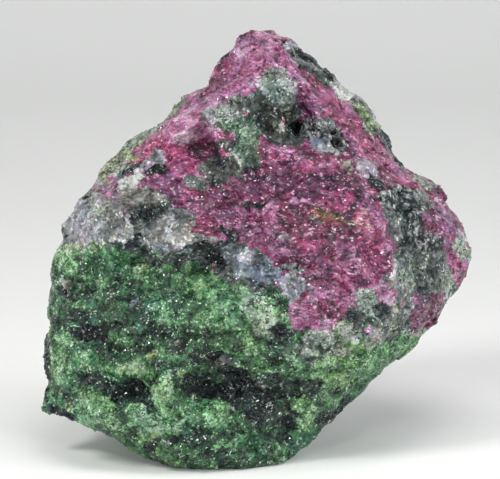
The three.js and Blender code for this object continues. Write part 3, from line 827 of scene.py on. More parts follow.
def tint_at(points, found, heading, chance):
    """The mineral and the colour of each point's grain. chance is the share that is random."""
    flat = front_view(points)[:, :2]
    along = (flat * heading).sum(1) / STREAK_LENGTH
    beside = (flat[:, 0] * heading[:, 1] - flat[:, 1] * heading[:, 0]) / STREAK_WIDTH
    streak = drift(np.stack([along, beside, along * 0], 1), 1, 43)
    clump = drift(points, CLUMP, 41) + FINE_CLUMP_PART * drift(points, FINE_CLUMP, 42)
    red = np.isin(found, RUBY_MIXES)
    slow = np.where(red, streak + STREAK_CLUMPING * clump, clump)
    slow = smooth_step(-CLUMP_REACH, CLUMP_REACH, slow)
    salty = np.isin(found, SALTY_MIXES)
    own = number(nearest_seed(points, CRYSTAL, 47)[0], 48)
    own[salty] = number(nearest_seed(points[salty], SALTY_CRYSTAL, 49)[0], 50)
    own[red] = number(nearest_seed(points[red], RUBY_CRYSTAL, 51)[0], 52)
    share = np.where(salty, SALTY_SHARE, np.where(red, RUBY_SHARE, CRYSTAL_SHARE))
    chance = np.where(red, RUBY_CALM * chance, chance)
    value = (1 - share) * slow + share * own
    value = (1 - chance) * value + chance * number(own_cell(points), 44)
    value = value.clip(0, 0.999)
    mineral = np.zeros(len(points), dtype=int)
    colour = np.zeros((len(points), 3))
    for index, (order, ends, middles) in enumerate(mix_steps):
        here = found == index
        mineral[here] = tint_mineral[order][np.searchsorted(ends, value[here])]
        for channel in range(3):
            colour[here, channel] = np.interp(value[here], middles, tint_colour[order, channel])
    return mineral, colour * wash(points, mineral)


def wash(points, mineral):
    """A factor for colours that changes slowly from darker to lighter and bluish to yellowish."""
    warm = by_mineral(WARMTH, mineral) * drift(points, WARM_PATCH, 45)
    light = 1 + LIGHT_SWING * drift(points, LIGHT_PATCH, 46)
    return light[:, None] * np.stack([1 + warm, np.ones(len(points)), 1 - warm], axis=1)


print("clumps of", CLUMP, "mm, streaks of", STREAK_LENGTH, "by", STREAK_WIDTH, "mm")

# %% [markdown]
# The rock's own surface. The CAD node is a faceted solid of 1 to 2 mm triangles. A copy of it is
# merged, remeshed to an even skin of 0.3 mm and softened a little, so that no triangle of the
# solid shows. Subdividing would keep the solid's edges, and sculpting could not be written down.

# %% An even skin over the CAD node
SKIN = 0.3
SOFTENING = 4
TOUCHING = 0.001


def mesh_object(name, mesh):
    """A new object at the origin that shows a mesh."""
    made = bpy.data.objects.new(name, mesh)
    bpy.context.scene.collection.objects.link(made)
    return made


def even_skin(name):
    """A closed, even copy of the CAD node's surface."""
    merged = bmesh.new()
    merged.from_mesh(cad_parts[ROCK_NODE].data)
    bmesh.ops.remove_doubles(merged, verts=merged.verts, dist=TOUCHING * MM)
    mesh = bpy.data.meshes.new(name)
    merged.to_mesh(mesh)
    merged.free()
    rock = mesh_object(name, mesh)
    remesh = rock.modifiers.new("even skin", "REMESH")
    remesh.mode = "VOXEL"
    remesh.voxel_size = SKIN * MM
    soften = rock.modifiers.new("soften", "SMOOTH")
    soften.factor = 0.5
    soften.iterations = SOFTENING
    bpy.context.view_layer.update()
    evaluated = rock.evaluated_get(bpy.context.evaluated_depsgraph_get())
    skin = bpy.data.meshes.new_from_object(evaluated)
    rock.modifiers.clear()
    rock.data = skin
    return rock


rock = even_skin("broken_rock")
print("skin of", len(rock.data.vertices), "points")

# %% [markdown]
# The skin has about a hundred thousand points, so its points are moved all at once, as arrays.
# Helpers read them and their normals, write them back, and even a value out over the surface.

# %% Reading and writing a mesh in millimetres
def values_of(parts, name, width=1, kind=np.int32):
    """One setting of all the points, edges, faces or corners of a mesh, as an array."""
    values = np.empty(width * len(parts), dtype=kind)
    parts.foreach_get(name, values)
    return values


def points_of(mesh):
    """A mesh's points, in mm."""
    return values_of(mesh.vertices, "co", 3, float).reshape(-1, 3) / MM


def normals_of(mesh):
    """A mesh's normals at its points."""
    return values_of(mesh.vertex_normals, "vector", 3, float).reshape(-1, 3)


def move_points(mesh, points):
    """Puts a mesh's points at places in mm."""
    mesh.vertices.foreach_set("co", (points * MM).ravel())
    mesh.update()


def spread_out(mesh, value, rounds):
    """A value at a mesh's points, evened out with its neighbours a number of times."""
    ends = values_of(mesh.edges, "vertices", 2)
    first, second = ends.reshape(-1, 2).T
    count = np.bincount(ends, minlength=len(value))
    for _ in range(rounds):
        near = np.bincount(first, value[second], len(value))
        near += np.bincount(second, value[first], len(value))
        value = 0.5 * value + 0.5 * near / count
    return value


box = points_of(rock.data)
print("skin spans", np.ptp(box, axis=0).round(1), "mm")

# %% [markdown]
# Breaking the surface along its normals, as a hammer leaves it. A plate is a cell round a
# scattered seed, tilted its own way, so that neighbouring plates meet in a step. Lumps of about
# one millimetre and bumps of a grain lie over the plates, and each patch of mineral stands out or
# lies back by its mix. The sides get half as much, and the relief fades out near the foot, where
# the stone must keep the flat that it stands on.

# %% Break the surface
PLATES = [(4.2, 0.1), (1.7, 0.11)]
LUMP = 1.2
LUMP_HEIGHT = 0.3
LUMP_MIDDLE = 0.55
GRAIN_BUMP = 0.6
GRAIN_HEIGHT = 0.12
FOOT_FADE = (0.5, 2.5)
SKIN_FUZZ = 0.1
ROUGHNESS = {
    "pale_zoisite": 1, "dark_zoisite": 1, "ruby": 0.8, "feldspar": 0.35, "hornblende": 1,
}
SIDE = 0.5
TURNED_AWAY = (0.1, 0.5)


def plate_height(points, size, slope, seed):
    """Height in mm of a patchwork of plates, each tilted its own way by up to a slope."""
    cell, way, _ = nearest_seed(points, size, seed)
    tilt = np.stack([number(cell, seed + axis) for axis in (5, 6, 7)], axis=1) - 0.5
    return 2 * slope * (way * tilt).sum(axis=1)


def lump_height(points, size, height, seed):
    """Height in mm of rounded lumps of a size in mm."""
    _, way, _ = nearest_seed(points, size, seed)
    return height * (LUMP_MIDDLE - np.linalg.norm(way, axis=1) / size)


def on_front(normals):
    """From 0 on the sides and the back to 1 where the surface faces the eye."""
    return smooth_step(*TURNED_AWAY, normals @ TOWARDS_EYE)


def break_surface(rock):
    """Moves the skin's points along their normals by the height of the relief."""
    mesh = rock.data
    points = points_of(mesh)
    normals = normals_of(mesh)
    found, heading = mix_at(points, normals, SKIN_FUZZ)
    mineral, _ = tint_at(points, found, heading, 0)
    rough = by_mineral(ROUGHNESS, mineral)
    rough = spread_out(mesh, rough, 2) * (SIDE + (1 - SIDE) * on_front(normals))
    height = lump_height(points, LUMP, LUMP_HEIGHT, 61)
    height += lump_height(points, GRAIN_BUMP, GRAIN_HEIGHT, 65)
    for seed, (size, slope) in enumerate(PLATES):
        height += plate_height(points, size, slope, 50 + 10 * seed)
    height = rough * height + spread_out(mesh, mix_raise[found], 3)
    fade = smooth_step(*FOOT_FADE, points[:, 2])
    points += normals * (height * fade)[:, None]
    points[:, 2] = np.maximum(points[:, 2], 0)
    move_points(mesh, points)


break_surface(rock)
print("broken skin spans", np.ptp(points_of(rock.data), axis=0).round(1), "mm")

# %% [markdown]
# The skin's colour is a colour at each point, which a material can read by name. It is the tint of
# the mix there, darker where grains will lie over it, because what shows between them is in shade.

# %% Colour the skin
SKIN_CHANCE = 0.15
UNDER_GRAINS = {
    "pale_zoisite": 0.75, "dark_zoisite": 0.75, "ruby": 0.9, "feldspar": 1, "hornblende": 0.9,
}


def colour_points(mesh, name, colour):
    """Stores a linear colour at each point under a name."""
    layer = mesh.color_attributes.new(name, "FLOAT_COLOR", "POINT")
    full = np.concatenate([colour, np.ones((len(colour), 1))], axis=1)
    layer.data.foreach_set("color", full.astype(np.float32).ravel())


def colour_skin(rock):
    """Colours the skin, and gives the mineral at each point."""
    points = points_of(rock.data)
    found, heading = mix_at(points, normals_of(rock.data), SKIN_FUZZ)
    mineral, colour = tint_at(points, found, heading, SKIN_CHANCE)
    shade = by_mineral(UNDER_GRAINS, mineral)
    colour_points(rock.data, "mineral_colour", colour * shade[:, None])
    return mineral


skin_mineral = colour_skin(rock)
shares = np.bincount(skin_mineral, minlength=len(minerals)) / len(skin_mineral)
print("shares of the skin", dict(zip(minerals, shares.round(2))))

# %% [markdown]
# The grains. Zoisite breaks to sugary crystals of about half a millimetre, ruby to thin plates
# along its parting, feldspar to square-cornered cleavage blocks and hornblende to short blades.
# Each has a few patterns, made once. Tens of thousands can't be modelled by hand, so the patterns
# are stamped with a turn and a size of their own and joined in one mesh for each mineral.
# The first kind is a hull round a handful of points on a ball. Steps of a golden turn spread the
# points evenly, and a little chance loosens them.

# %% A faceted crystal
HULL_POINTS = 7
GOLDEN_TURN = 0.618
TURN_CHANCE = 0.1
TURN_BETWEEN_PATTERNS = 0.17
HEIGHT_CHANCE = 0.12
REACH = 0.4
REACH_CHANCE = 0.2


def finished_pattern(shape):
    """A pattern's points and triangles, from its bmesh."""
    bmesh.ops.triangulate(shape, faces=shape.faces)
    bmesh.ops.recalc_face_normals(shape, faces=shape.faces)
    shape.verts.index_update()
    points = np.array([vert.co[:] for vert in shape.verts])
    corners = np.array([[vert.index for vert in face.verts] for face in shape.faces])
    shape.free()
    return points, corners


def hull_pattern(stretch, index):
    """A faceted crystal: the hull of a few points on a ball, stretched along its axes."""
    shape = bmesh.new()
    for step in range(HULL_POINTS):
        cell = np.array([[index, step, 0]])
        turn = GOLDEN_TURN * step + TURN_CHANCE * number(cell, 71)[0]
        turn = 2 * math.pi * (turn + TURN_BETWEEN_PATTERNS * index)
        height = 1 - (2 * step + 1) / HULL_POINTS + HEIGHT_CHANCE * (number(cell, 72)[0] - 0.5)
        ring = math.sqrt(max(0, 1 - height * height))
        spot = Vector((ring * math.cos(turn), ring * math.sin(turn), height))
        reach = REACH + REACH_CHANCE * number(cell, 75)[0]
        bmesh.ops.create_vert(shape, co=reach * spot * Vector(stretch))
    bmesh.ops.convex_hull(shape, input=shape.verts)
    return finished_pattern(shape)


print("a faceted crystal has", HULL_POINTS, "corners")

# %% [markdown]
# The second kind is a cleavage block. A cube is nearly right as it is, so two of its corners are
# cut off and it is made to lean a little, as feldspar does. Then each mineral's patterns are made,
# stretched to its habit.

# %% A cleavage block, and each mineral's patterns
PATTERNS = 6
BLOCK = 0.85
CUT = 0.42
CUT_CHANCE = 0.1
CUT_OFF_MIDDLE = 0.75
BLOCK_LEAN = 0.12


def block_pattern(stretch, index):
    """A cleavage block: a cube with two corners cut off, leaning a little."""
    shape = bmesh.new()
    bmesh.ops.create_cube(shape, size=BLOCK)
    for cut in range(2):
        cell = np.array([[index, cut, 1]])
        way = Vector([1 if number(cell, 73 + axis)[0] > 0.5 else -1 for axis in range(3)])
        whole = shape.verts[:] + shape.edges[:] + shape.faces[:]
        depth = CUT + CUT_CHANCE * number(cell, 77)[0]
        place = way * depth * CUT_OFF_MIDDLE
        bmesh.ops.bisect_plane(shape, geom=whole, plane_co=place, plane_no=way, clear_outer=True)
        rim = [edge for edge in shape.edges if edge.is_boundary]
        bmesh.ops.contextual_create(shape, geom=rim)
    for vert in shape.verts:
        vert.co.x += BLOCK_LEAN * vert.co.z
        vert.co *= Vector(stretch)
    return finished_pattern(shape)


GRAIN_STRETCH = {
    "pale_zoisite": (1.2, 1, 0.85),
    "dark_zoisite": (1.2, 1, 0.85),
    "ruby": (1.5, 1, 0.5),
    "feldspar": (1.1, 1, 0.75),
    "hornblende": (1.7, 0.7, 0.6),
}


def patterns_of(mineral):
    """A mineral's few patterns: cleavage blocks for feldspar, and hulls for the rest."""
    make = block_pattern if mineral == "feldspar" else hull_pattern
    return [make(GRAIN_STRETCH[mineral], index) for index in range(PATTERNS)]


patterns = {mineral: patterns_of(mineral) for mineral in minerals}
for mineral, made in patterns.items():
    print(mineral, "patterns of", [len(corners) for _, corners in made], "triangles")

# %% [markdown]
# A few crystals are large enough to know one by one on the real stone: a black prism standing in
# the feldspar, a beige cube in the green, cleavage blocks in the recess. They are placed one by one
# and listed first, because the small grains keep clear of them. Each gives its tint, its place
# across and up the front, its length and width in mm and its turn in degrees.

# %% The large crystals
large_crystals = [
    ("black", -11.5, 34.1, 2.3, 1.6, -15),
    ("black", 4.7, 39.1, 1.4, 1.2, 30),
    ("black", 9.4, 36.9, 1.3, 1, 50),
    ("black", 8.7, 38.4, 0.9, 0.7, 10),
    ("black", 6.4, 38.8, 0.8, 0.6, -30),
    ("slate", 13.7, 32.3, 1.2, 0.8, -40),
    ("black", -13.5, 26.4, 1.1, 0.8, 20),
    ("black", -22, 19.9, 1.2, 0.7, -50),
    ("black", -17.1, 29.5, 0.5, 0.4, 10),
    ("black", -15.6, 34.3, 0.6, 0.4, 40),
    ("black", 17.2, 29.3, 1.1, 0.6, 60),
    ("black", 16.8, 26.2, 1.4, 0.7, 75),
    ("black", -6.2, 25.8, 1, 0.7, 10),
    ("pearl", 7.4, 36.9, 1.7, 1.1, -10),
    ("bone", 7, 38, 0.8, 0.7, 30),
    ("cream", 9.8, 42.8, 2, 1.5, -50),
    ("bone", 8.8, 44, 1, 0.9, -50),
    ("lavender", 12.9, 34.1, 1.7, 1, -50),
    ("lavender", -12.4, 34.7, 1.5, 1, 50),
    ("bone", -14, 32.6, 2.4, 1, 50),
    ("white", -21.3, 27.6, 2.2, 1.4, 60),
    ("sand", -21.7, 20.9, 1.2, 1, 25),
    ("sand", -9.2, 14.3, 0.7, 0.6, 25),
    ("bone", 15.2, 31.4, 0.9, 0.5, -50),
    ("ash", 15.6, 28.4, 1.6, 0.5, -65),
    ("bone", 14.3, 31.6, 0.6, 0.5, 20),
    ("bone", 18.1, 27.4, 0.8, 0.4, -60),
    ("bone", 17.4, 24.2, 0.7, 0.4, -70),
    ("crimson", -5.6, 27.9, 1.6, 1.3, 15),
    ("crimson", 9.8, 29.8, 1.5, 0.8, 0),
    ("magenta", 5.5, 25.4, 2.2, 1.1, -5),
    ("crimson", 7.6, 31.6, 1.6, 0.9, -20),
    ("crimson", 12.4, 24.6, 1.2, 0.8, 30),
    ("magenta", 3.4, 31.2, 1.2, 0.7, 15),
    ("pink", 13.4, 37.4, 1.5, 1.1, -45),
    ("pink", 1.4, 29.2, 1.1, 1, 20),
    ("rose", 14.8, 25.3, 1.1, 0.9, -60),
    ("pink", -8.6, 39, 1.4, 1, 30),
    ("magenta", -9.9, 35.8, 1.3, 0.9, 45),
    ("rose", 4.9, 30, 0.9, 0.6, 10),
    ("rose", 3.4, 24.8, 1, 0.5, 0),
]
print(len(large_crystals), "large crystals")

# %% [markdown]
# Where grains sit and how they turn. The skin's points are sorted into cells of 0.41 mm, and each
# cell can give one grain, so that they lie evenly but not in rows. A grain turns freely in the
# zoisite. In the ruby its plate lies along the surface and along the streak.

# %% Seats and turns of the grains
SPACING = 0.41
CLEAR_OF_FOOT = 0.15
LYING = 1.3
ALONG_SKIN = 0.97


def unit(vectors):
    """Vectors made one long."""
    return vectors / np.linalg.norm(vectors, axis=-1, keepdims=True)


def grain_seats(rock):
    """One point of the skin for each cell, clear of the foot's flat."""
    points = points_of(rock.data)
    cells = np.floor(points / SPACING).astype(np.int64)
    _, first = np.unique(cells, axis=0, return_index=True)
    first = first[points[first, 2] > CLEAR_OF_FOOT]
    return points[first], normals_of(rock.data)[first]


def clear_of_large(seats):
    """Whether each seat is clear of the large crystals, which lie bare."""
    view = front_view(seats)[:, :2]
    clear = np.ones(len(seats), dtype=bool)
    for _, across, up, long, wide, turn in large_crystals:
        way = view - (across, up)
        along = np.array([math.cos(math.radians(turn)), math.sin(math.radians(turn))])
        reach = np.hypot(way @ along / long, way @ (-along[1], along[0]) / wide)
        clear &= reach > 0.5
    return clear


def turned(normals, heading, flat_lying, cell):
    """Three axes for each grain, between a random turn and lying flat along its heading."""
    loose = [[number(cell, 80 + 3 * row + axis) for axis in range(3)] for row in range(2)]
    loose = (np.stack(loose) - 0.5).transpose(2, 0, 1)
    along = heading[:, :1] * RIGHT_IN_VIEW + heading[:, 1:] * UPWARDS_IN_VIEW
    along = unit(along - ALONG_SKIN * normals * (along * normals).sum(1, keepdims=True))
    first = unit(flat_lying * along + (LYING - flat_lying) * loose[:, 0])
    third = flat_lying * normals + (LYING - flat_lying) * loose[:, 1]
    third = unit(third - (third * first).sum(1, keepdims=True) * first)
    return np.stack([first, np.cross(third, first), third], axis=1)


print(len(grain_seats(rock)[0]), "seats for grains")

# %% [markdown]
# Stamping. For each pattern all its grains are made at once, as one array of turned, sized and
# placed copies, and the copies are joined in one mesh. Each grain also gets a square of the map.

# %% Stamp the patterns into one mesh
MAP_RIM = 0.15


def stamped(name, places, axes, sizes, colours, cell, mineral):
    """One mesh of a mineral's grains, each with its colour and its own square of the map."""
    which = (number(cell, 90) * PATTERNS).astype(int)
    point_parts, corner_parts, colour_parts, map_parts = [], [], [], []
    start = 0
    squares = math.ceil(math.sqrt(len(places)))
    for index, (shape, corners) in enumerate(patterns[mineral]):
        here = np.flatnonzero(which == index)
        laid = np.einsum("pk,gkc->gpc", shape, axes[here])
        made = places[here, None] + sizes[here, None, None] * laid
        point_parts.append(made.reshape(-1, 3))
        steps = start + len(shape) * np.arange(len(here))
        corner_parts.append((steps[:, None, None] + corners).reshape(-1, 3))
        colour_parts.append(np.repeat(colours[here], len(shape), axis=0))
        square = np.stack([here % squares, here // squares], axis=1)
        low = shape[:, :2].min(axis=0)
        inner = (shape[:, :2] - low) / np.ptp(shape[:, :2], axis=0)
        inner = MAP_RIM + (1 - 2 * MAP_RIM) * inner
        spots = (square[:, None] + inner) / squares
        map_parts.append(spots[:, corners].reshape(-1, 2))
        start += len(shape) * len(here)
    parts = (point_parts, corner_parts, colour_parts, map_parts)
    return joined(name, *map(np.concatenate, parts))


def joined(name, points, corners, colours, spots):
    """One object from the stamped patterns' points, triangles, colours and map."""
    points[:, 2] = np.maximum(points[:, 2], 0)
    mesh = bpy.data.meshes.new(name)
    mesh.vertices.add(len(points))
    mesh.loops.add(corners.size)
    mesh.polygons.add(len(corners))
    mesh.loops.foreach_set("vertex_index", corners.ravel().astype(np.int32))
    mesh.polygons.foreach_set("loop_start", np.arange(0, corners.size, 3, dtype=np.int32))
    move_points(mesh, points)
    mesh.update(calc_edges=True)
    colour_points(mesh, "mineral_colour", colours)
    mesh.uv_layers.new(name="OFBake").uv.foreach_set("vector", spots.astype(np.float32).ravel())
    return mesh_object(name, mesh)


print(PATTERNS, "patterns for each mineral, ready to stamp")

# %% [markdown]
# Sowing. A mineral's share says how many of its seats get a grain, so more of the skin shows
# between the grains of ruby and feldspar. Most grains are small, and a few are twice as large.
# Geometry Nodes could scatter them too, but then the choice of mineral would be made twice.

# %% Sow the grains
GRAIN_FUZZ = 0.25
GRAIN_CHANCE = 0.35
GRAIN_LIGHT = 0.15
LEAST_SIZE = 0.7
SIZE_CHANCE = 1.1
SIZE_AT_SIDE = 0.55
LIFT_CHANCE = 0.1
# For each mineral: the size of a grain in mm, the share of seats that get one, how far its middle
# lies above the skin in mm, and how far it lies flat, from 0 for any way to 1.
sowing = {
    "pale_zoisite": (0.4, 0.5, -0.09, 0.3),
    "dark_zoisite": (0.4, 0.5, -0.12, 0.3),
    "ruby": (0.42, 0.34, -0.1, 0.8),
    "feldspar": (0.45, 0.35, -0.14, 0.6),
    "hornblende": (0.42, 0.7, -0.1, 0.8),
}


def sow(rock):
    """The grains of all the minerals, as a mesh for each."""
    seats, normals = grain_seats(rock)
    cell = own_cell(seats)
    found, heading = mix_at(seats, normals, GRAIN_FUZZ)
    mineral, colours = tint_at(seats, found, heading, GRAIN_CHANCE)
    colours = colours * (1 - GRAIN_LIGHT + 2 * GRAIN_LIGHT * number(cell, 91))[:, None]
    kept = clear_of_large(seats) | (normals @ TOWARDS_EYE < 0)
    made = {}
    for index, name in enumerate(minerals):
        size, share, lift, flat_lying = sowing[name]
        here = kept & (mineral == index) & (number(cell, 92) < share)
        own = cell[here]
        sizes = size * (LEAST_SIZE + SIZE_CHANCE * number(own, 93) ** 3)
        sizes = sizes * (SIZE_AT_SIDE + (1 - SIZE_AT_SIDE) * on_front(normals[here]))
        lifted = lift + LIFT_CHANCE * number(own, 94)
        places = seats[here] + normals[here] * lifted[:, None]
        axes = turned(normals[here], heading[here], flat_lying, own)
        made[name] = stamped(name + "_grains", places, axes, sizes, colours[here], own, name)
    return made


grains = sow(rock)
for piece in grains.values():
    print(piece.name, len(piece.data.polygons), "triangles")

# %% [markdown]
# The large crystals use the same cut blocks, each stretched to its own length and width. A block
# is set at the skin's point that is seen at its place, lies flat on the face and is sunk a little,
# so that it looks grown in and not laid on.

# %% Set the large crystals
SUNK = 0.15
THICKNESS = 0.7
LYING_FLAT = 1.2
HIDDEN = 100
NEARER = 0.02


def seat_at(points, normals, across, up):
    """The skin's point that is seen at a place of the front view."""
    view = front_view(points)
    away = normals @ TOWARDS_EYE < TURNED_AWAY[0]
    far = np.hypot(view[:, 0] - across, view[:, 1] - up) + HIDDEN * away
    return np.argmin(far - NEARER * view[:, 2])


def set_by_hand(rock):
    """One mesh for each mineral's large crystals: blocks laid flat on the face, a little sunk."""
    points = points_of(rock.data)
    normals = normals_of(rock.data)
    made = {}
    for mineral in ("ruby", "feldspar", "hornblende"):
        own = [crystal for crystal in large_crystals if tints[crystal[0]][0] == mineral]
        seats = [seat_at(points, normals, across, up) for _, across, up, *_ in own]
        turns = np.radians([turn for *_, turn in own])
        cell = own_cell(points[seats])
        heading = np.stack([np.cos(turns), np.sin(turns)], axis=1)
        axes = turned(normals[seats], heading, LYING_FLAT, cell)
        spans = np.array([(long, wide, THICKNESS * wide) for *_, long, wide, _ in own])
        places = points[seats] - SUNK * spans[:, 2:] * normals[seats]
        colours = np.array([tint_colour[tint_names.index(tint)] for tint, *_ in own])
        blocks = axes * spans[:, :, None]
        name = "large_" + mineral + "_crystals"
        made[name] = stamped(name, places, blocks, np.ones(len(own)), colours, cell, "feldspar")
    return made


large = set_by_hand(rock)
print(len(large_crystals), "crystals set by hand")

# %% [markdown]
# Materials. All four minerals are broken, unpolished crystal. Close up, each is a cloudy body
# under small faces: most are frosted, a share of them is clear and catches a lamp, and fine cracks
# darkened with painted shade run between the crystals. One gloss all over would look like plastic,
# so only the chosen faces get a clear coat, each leaned its own way. One helper adds a node with
# its settings and links.

# %% One helper for nodes
def node(tree, kind, inputs, **settings):
    """Adds a node. inputs gives a value or a socket to link for each input, by name or number."""
    made = tree.nodes.new(kind)
    for name, value in settings.items():
        setattr(made, name, value)
    for name, value in inputs.items():
        if isinstance(value, bpy.types.NodeSocket):
            tree.links.new(value, made.inputs[name])
        else:
            made.inputs[name].default_value = value
    return made


print("one helper adds every node")

# %% [markdown]
# The crystals are cells round scattered points, as wide as the real ones. Their place is bent
# first, so that no edge is ruled, and stretched where a mineral parts in long pieces. The faces
# on them are finer cells, laid the same way. Real ones go down to a few hundredths of a
# millimetre, too fine to show, so they are drawn as coarse as they need to be, about 0.2 mm.

# %% The crystals and the faces on them
PARTING_TILT = math.radians(15)
DRIFT_TO_CRYSTAL = 0.7
BEND = 0.8


def crystal_cells(tree, crystal, stretch, glints):
    """The place, a slow drift, the crystals, the way to their edges and the faces on them."""
    place = node(tree, "ShaderNodeTexCoord", {}).outputs["Object"]
    drifting = {"Vector": place, "Scale": DRIFT_TO_CRYSTAL / (crystal * MM), "Detail": 2.0}
    drifting = node(tree, "ShaderNodeTexNoise", drifting)
    bend = BEND * crystal * MM
    bent = {0: drifting.outputs["Color"], 1: (bend, bend, bend), 2: place}
    bent = node(tree, "ShaderNodeVectorMath", bent, operation="MULTIPLY_ADD").outputs[0]
    laid = {"Vector": bent, "Rotation": (0, PARTING_TILT, 0), "Scale": (stretch, 1, 1)}
    laid = node(tree, "ShaderNodeMapping", laid, vector_type="TEXTURE").outputs[0]
    cells = {"Vector": laid, "Scale": 1 / (crystal * MM)}
    crystals = node(tree, "ShaderNodeTexVoronoi", cells).outputs["Color"]
    edges = node(tree, "ShaderNodeTexVoronoi", cells, feature="DISTANCE_TO_EDGE")
    cells = {"Vector": laid, "Scale": 1 / (glints * MM)}
    faces = node(tree, "ShaderNodeTexVoronoi", cells).outputs["Color"]
    return {
        "place": place,
        "drift": drifting.outputs["Fac"],
        "crystals": crystals,
        "crystal chances": node(tree, "ShaderNodeSeparateColor", {0: crystals}).outputs,
        "edges": edges.outputs["Distance"],
        "faces": faces,
        "face chances": node(tree, "ShaderNodeSeparateColor", {0: faces}).outputs,
    }


print("crystals part at", round(math.degrees(PARTING_TILT)), "degrees")

# %% [markdown]
# Each crystal is a little lighter or darker than the next, and its faces differ too, except in
# calm patches of about two millimetres. The cracks between the crystals are darkened with painted
# shade, and stay open only here and there, where the slow drift is low.

# %% How light the body is
CALM_PATCH = 1.8
CALM_DRIFT = (0.35, 0.65)
CALMEST = 0.25
CRACK_SHADE_DRIFT = 1.2
CRACK_SHADE = (0.5, 0.72)


def body_light(tree, cells, contrast, grit, shade_in_cracks):
    """How light each point of the body is, as a factor for its colour, with painted shade in the cracks."""
    own = {"Value": cells["crystal chances"]["Red"], 3: 1 - contrast, 4: 1 + contrast}
    own = node(tree, "ShaderNodeMapRange", own).outputs[0]
    calm = {"Vector": cells["place"], "Scale": 1 / (CALM_PATCH * MM), "Detail": 1.0}
    calm = node(tree, "ShaderNodeTexNoise", calm).outputs["Fac"]
    calm = {"Value": calm, 1: CALM_DRIFT[0], 2: CALM_DRIFT[1], 3: CALMEST, 4: 1.0}
    calm = node(tree, "ShaderNodeMapRange", calm).outputs[0]
    fine = {"Value": cells["face chances"]["Red"], 3: -grit, 4: grit}
    fine = {0: node(tree, "ShaderNodeMapRange", fine).outputs[0], 1: calm, 2: 1.0}
    fine = node(tree, "ShaderNodeMath", fine, operation="MULTIPLY_ADD").outputs[0]
    own = node(tree, "ShaderNodeMath", {0: own, 1: fine}, operation="MULTIPLY").outputs[0]
    # Painted shade: darker near the crystals' edges where the drift is low, as the shade in the cracks.
    crack_shading = {0: cells["drift"], 1: CRACK_SHADE_DRIFT, 2: cells["edges"]}
    crack_shading = node(tree, "ShaderNodeMath", crack_shading, operation="MULTIPLY_ADD").outputs[0]
    crack_shading = {"Value": crack_shading, 1: CRACK_SHADE[0], 2: CRACK_SHADE[1], 3: shade_in_cracks, 4: 1.0}
    crack_shading = node(tree, "ShaderNodeMapRange", crack_shading).outputs[0]
    return node(tree, "ShaderNodeMath", {0: own, 1: crack_shading}, operation="MULTIPLY").outputs[0]


print("calm patches of", CALM_PATCH, "mm")

# %% [markdown]
# The colour is the one stored at each point. Each crystal sways it a little in hue, and a few
# faces are pale specks: partly pale grains of the stone, partly painted glints where a face would
# catch a lamp.

# %% What colour the body is
SPECK_AND_PAINTED_GLINT = (0.5, 0.54)


def body_colour(tree, cells, light, hue, speck):
    """The stored colour, swayed in hue by each crystal and lightened, with pale specks that are partly
    painted glints.
    """
    colour = node(tree, "ShaderNodeAttribute", {}, attribute_name="mineral_colour")
    least = (1 - hue, 1 - 0.5 * hue, 1 - 1.5 * hue)
    sway = {0: cells["crystals"], 1: (2 * hue, hue, 3 * hue), 2: least}
    sway = node(tree, "ShaderNodeVectorMath", sway, operation="MULTIPLY_ADD").outputs[0]
    body = {0: colour.outputs["Color"], 1: sway}
    body = node(tree, "ShaderNodeVectorMath", body, operation="MULTIPLY").outputs[0]
    body = {0: body, "Scale": light}
    body = node(tree, "ShaderNodeVectorMath", body, operation="SCALE").outputs[0]
    # Painted glints, with some pale grains: a few faces turned to the speck colour.
    pale = {0: cells["face chances"]["Blue"], 1: cells["drift"]}
    pale = node(tree, "ShaderNodeMath", pale, operation="MULTIPLY").outputs[0]
    pale = node(tree, "ShaderNodeMapRange", {"Value": pale, 1: SPECK_AND_PAINTED_GLINT[0], 2: SPECK_AND_PAINTED_GLINT[1]}).outputs[0]
    body = {0: pale, 6: body, 7: (*linear(speck), 1)}
    return node(tree, "ShaderNodeMix", body, data_type="RGBA").outputs[2]


print("the body reads the colour at each point")

# %% [markdown]
# Last comes the surface. The body is rough, leans its own way in each crystal and lets light a
# short way in. Over it lies a clear coat, on the shining share of the faces only. They lean
# further than the crystals, so that some of them always meet a lamp.

# %% A material for broken crystal
ROUGH = (0.25, 0.6)
CLOUDY = 0.6
BODY_SHINE = 0.15
FACE_POLISH = 0.1
FACE_LEAN = 1.6


def leaned(tree, cells, lean):
    """The surface's normal, turned a different way in each cell."""
    upright = node(tree, "ShaderNodeNewGeometry", {}).outputs["Normal"]
    off = {0: cells, 1: (0.5, 0.5, 0.5)}
    off = node(tree, "ShaderNodeVectorMath", off, operation="SUBTRACT").outputs[0]
    off = {0: off, "Scale": lean}
    off = node(tree, "ShaderNodeVectorMath", off, operation="SCALE").outputs[0]
    way = node(tree, "ShaderNodeVectorMath", {0: upright, 1: off}, operation="ADD").outputs[0]
    return node(tree, "ShaderNodeVectorMath", {0: way}, operation="NORMALIZE").outputs[0]


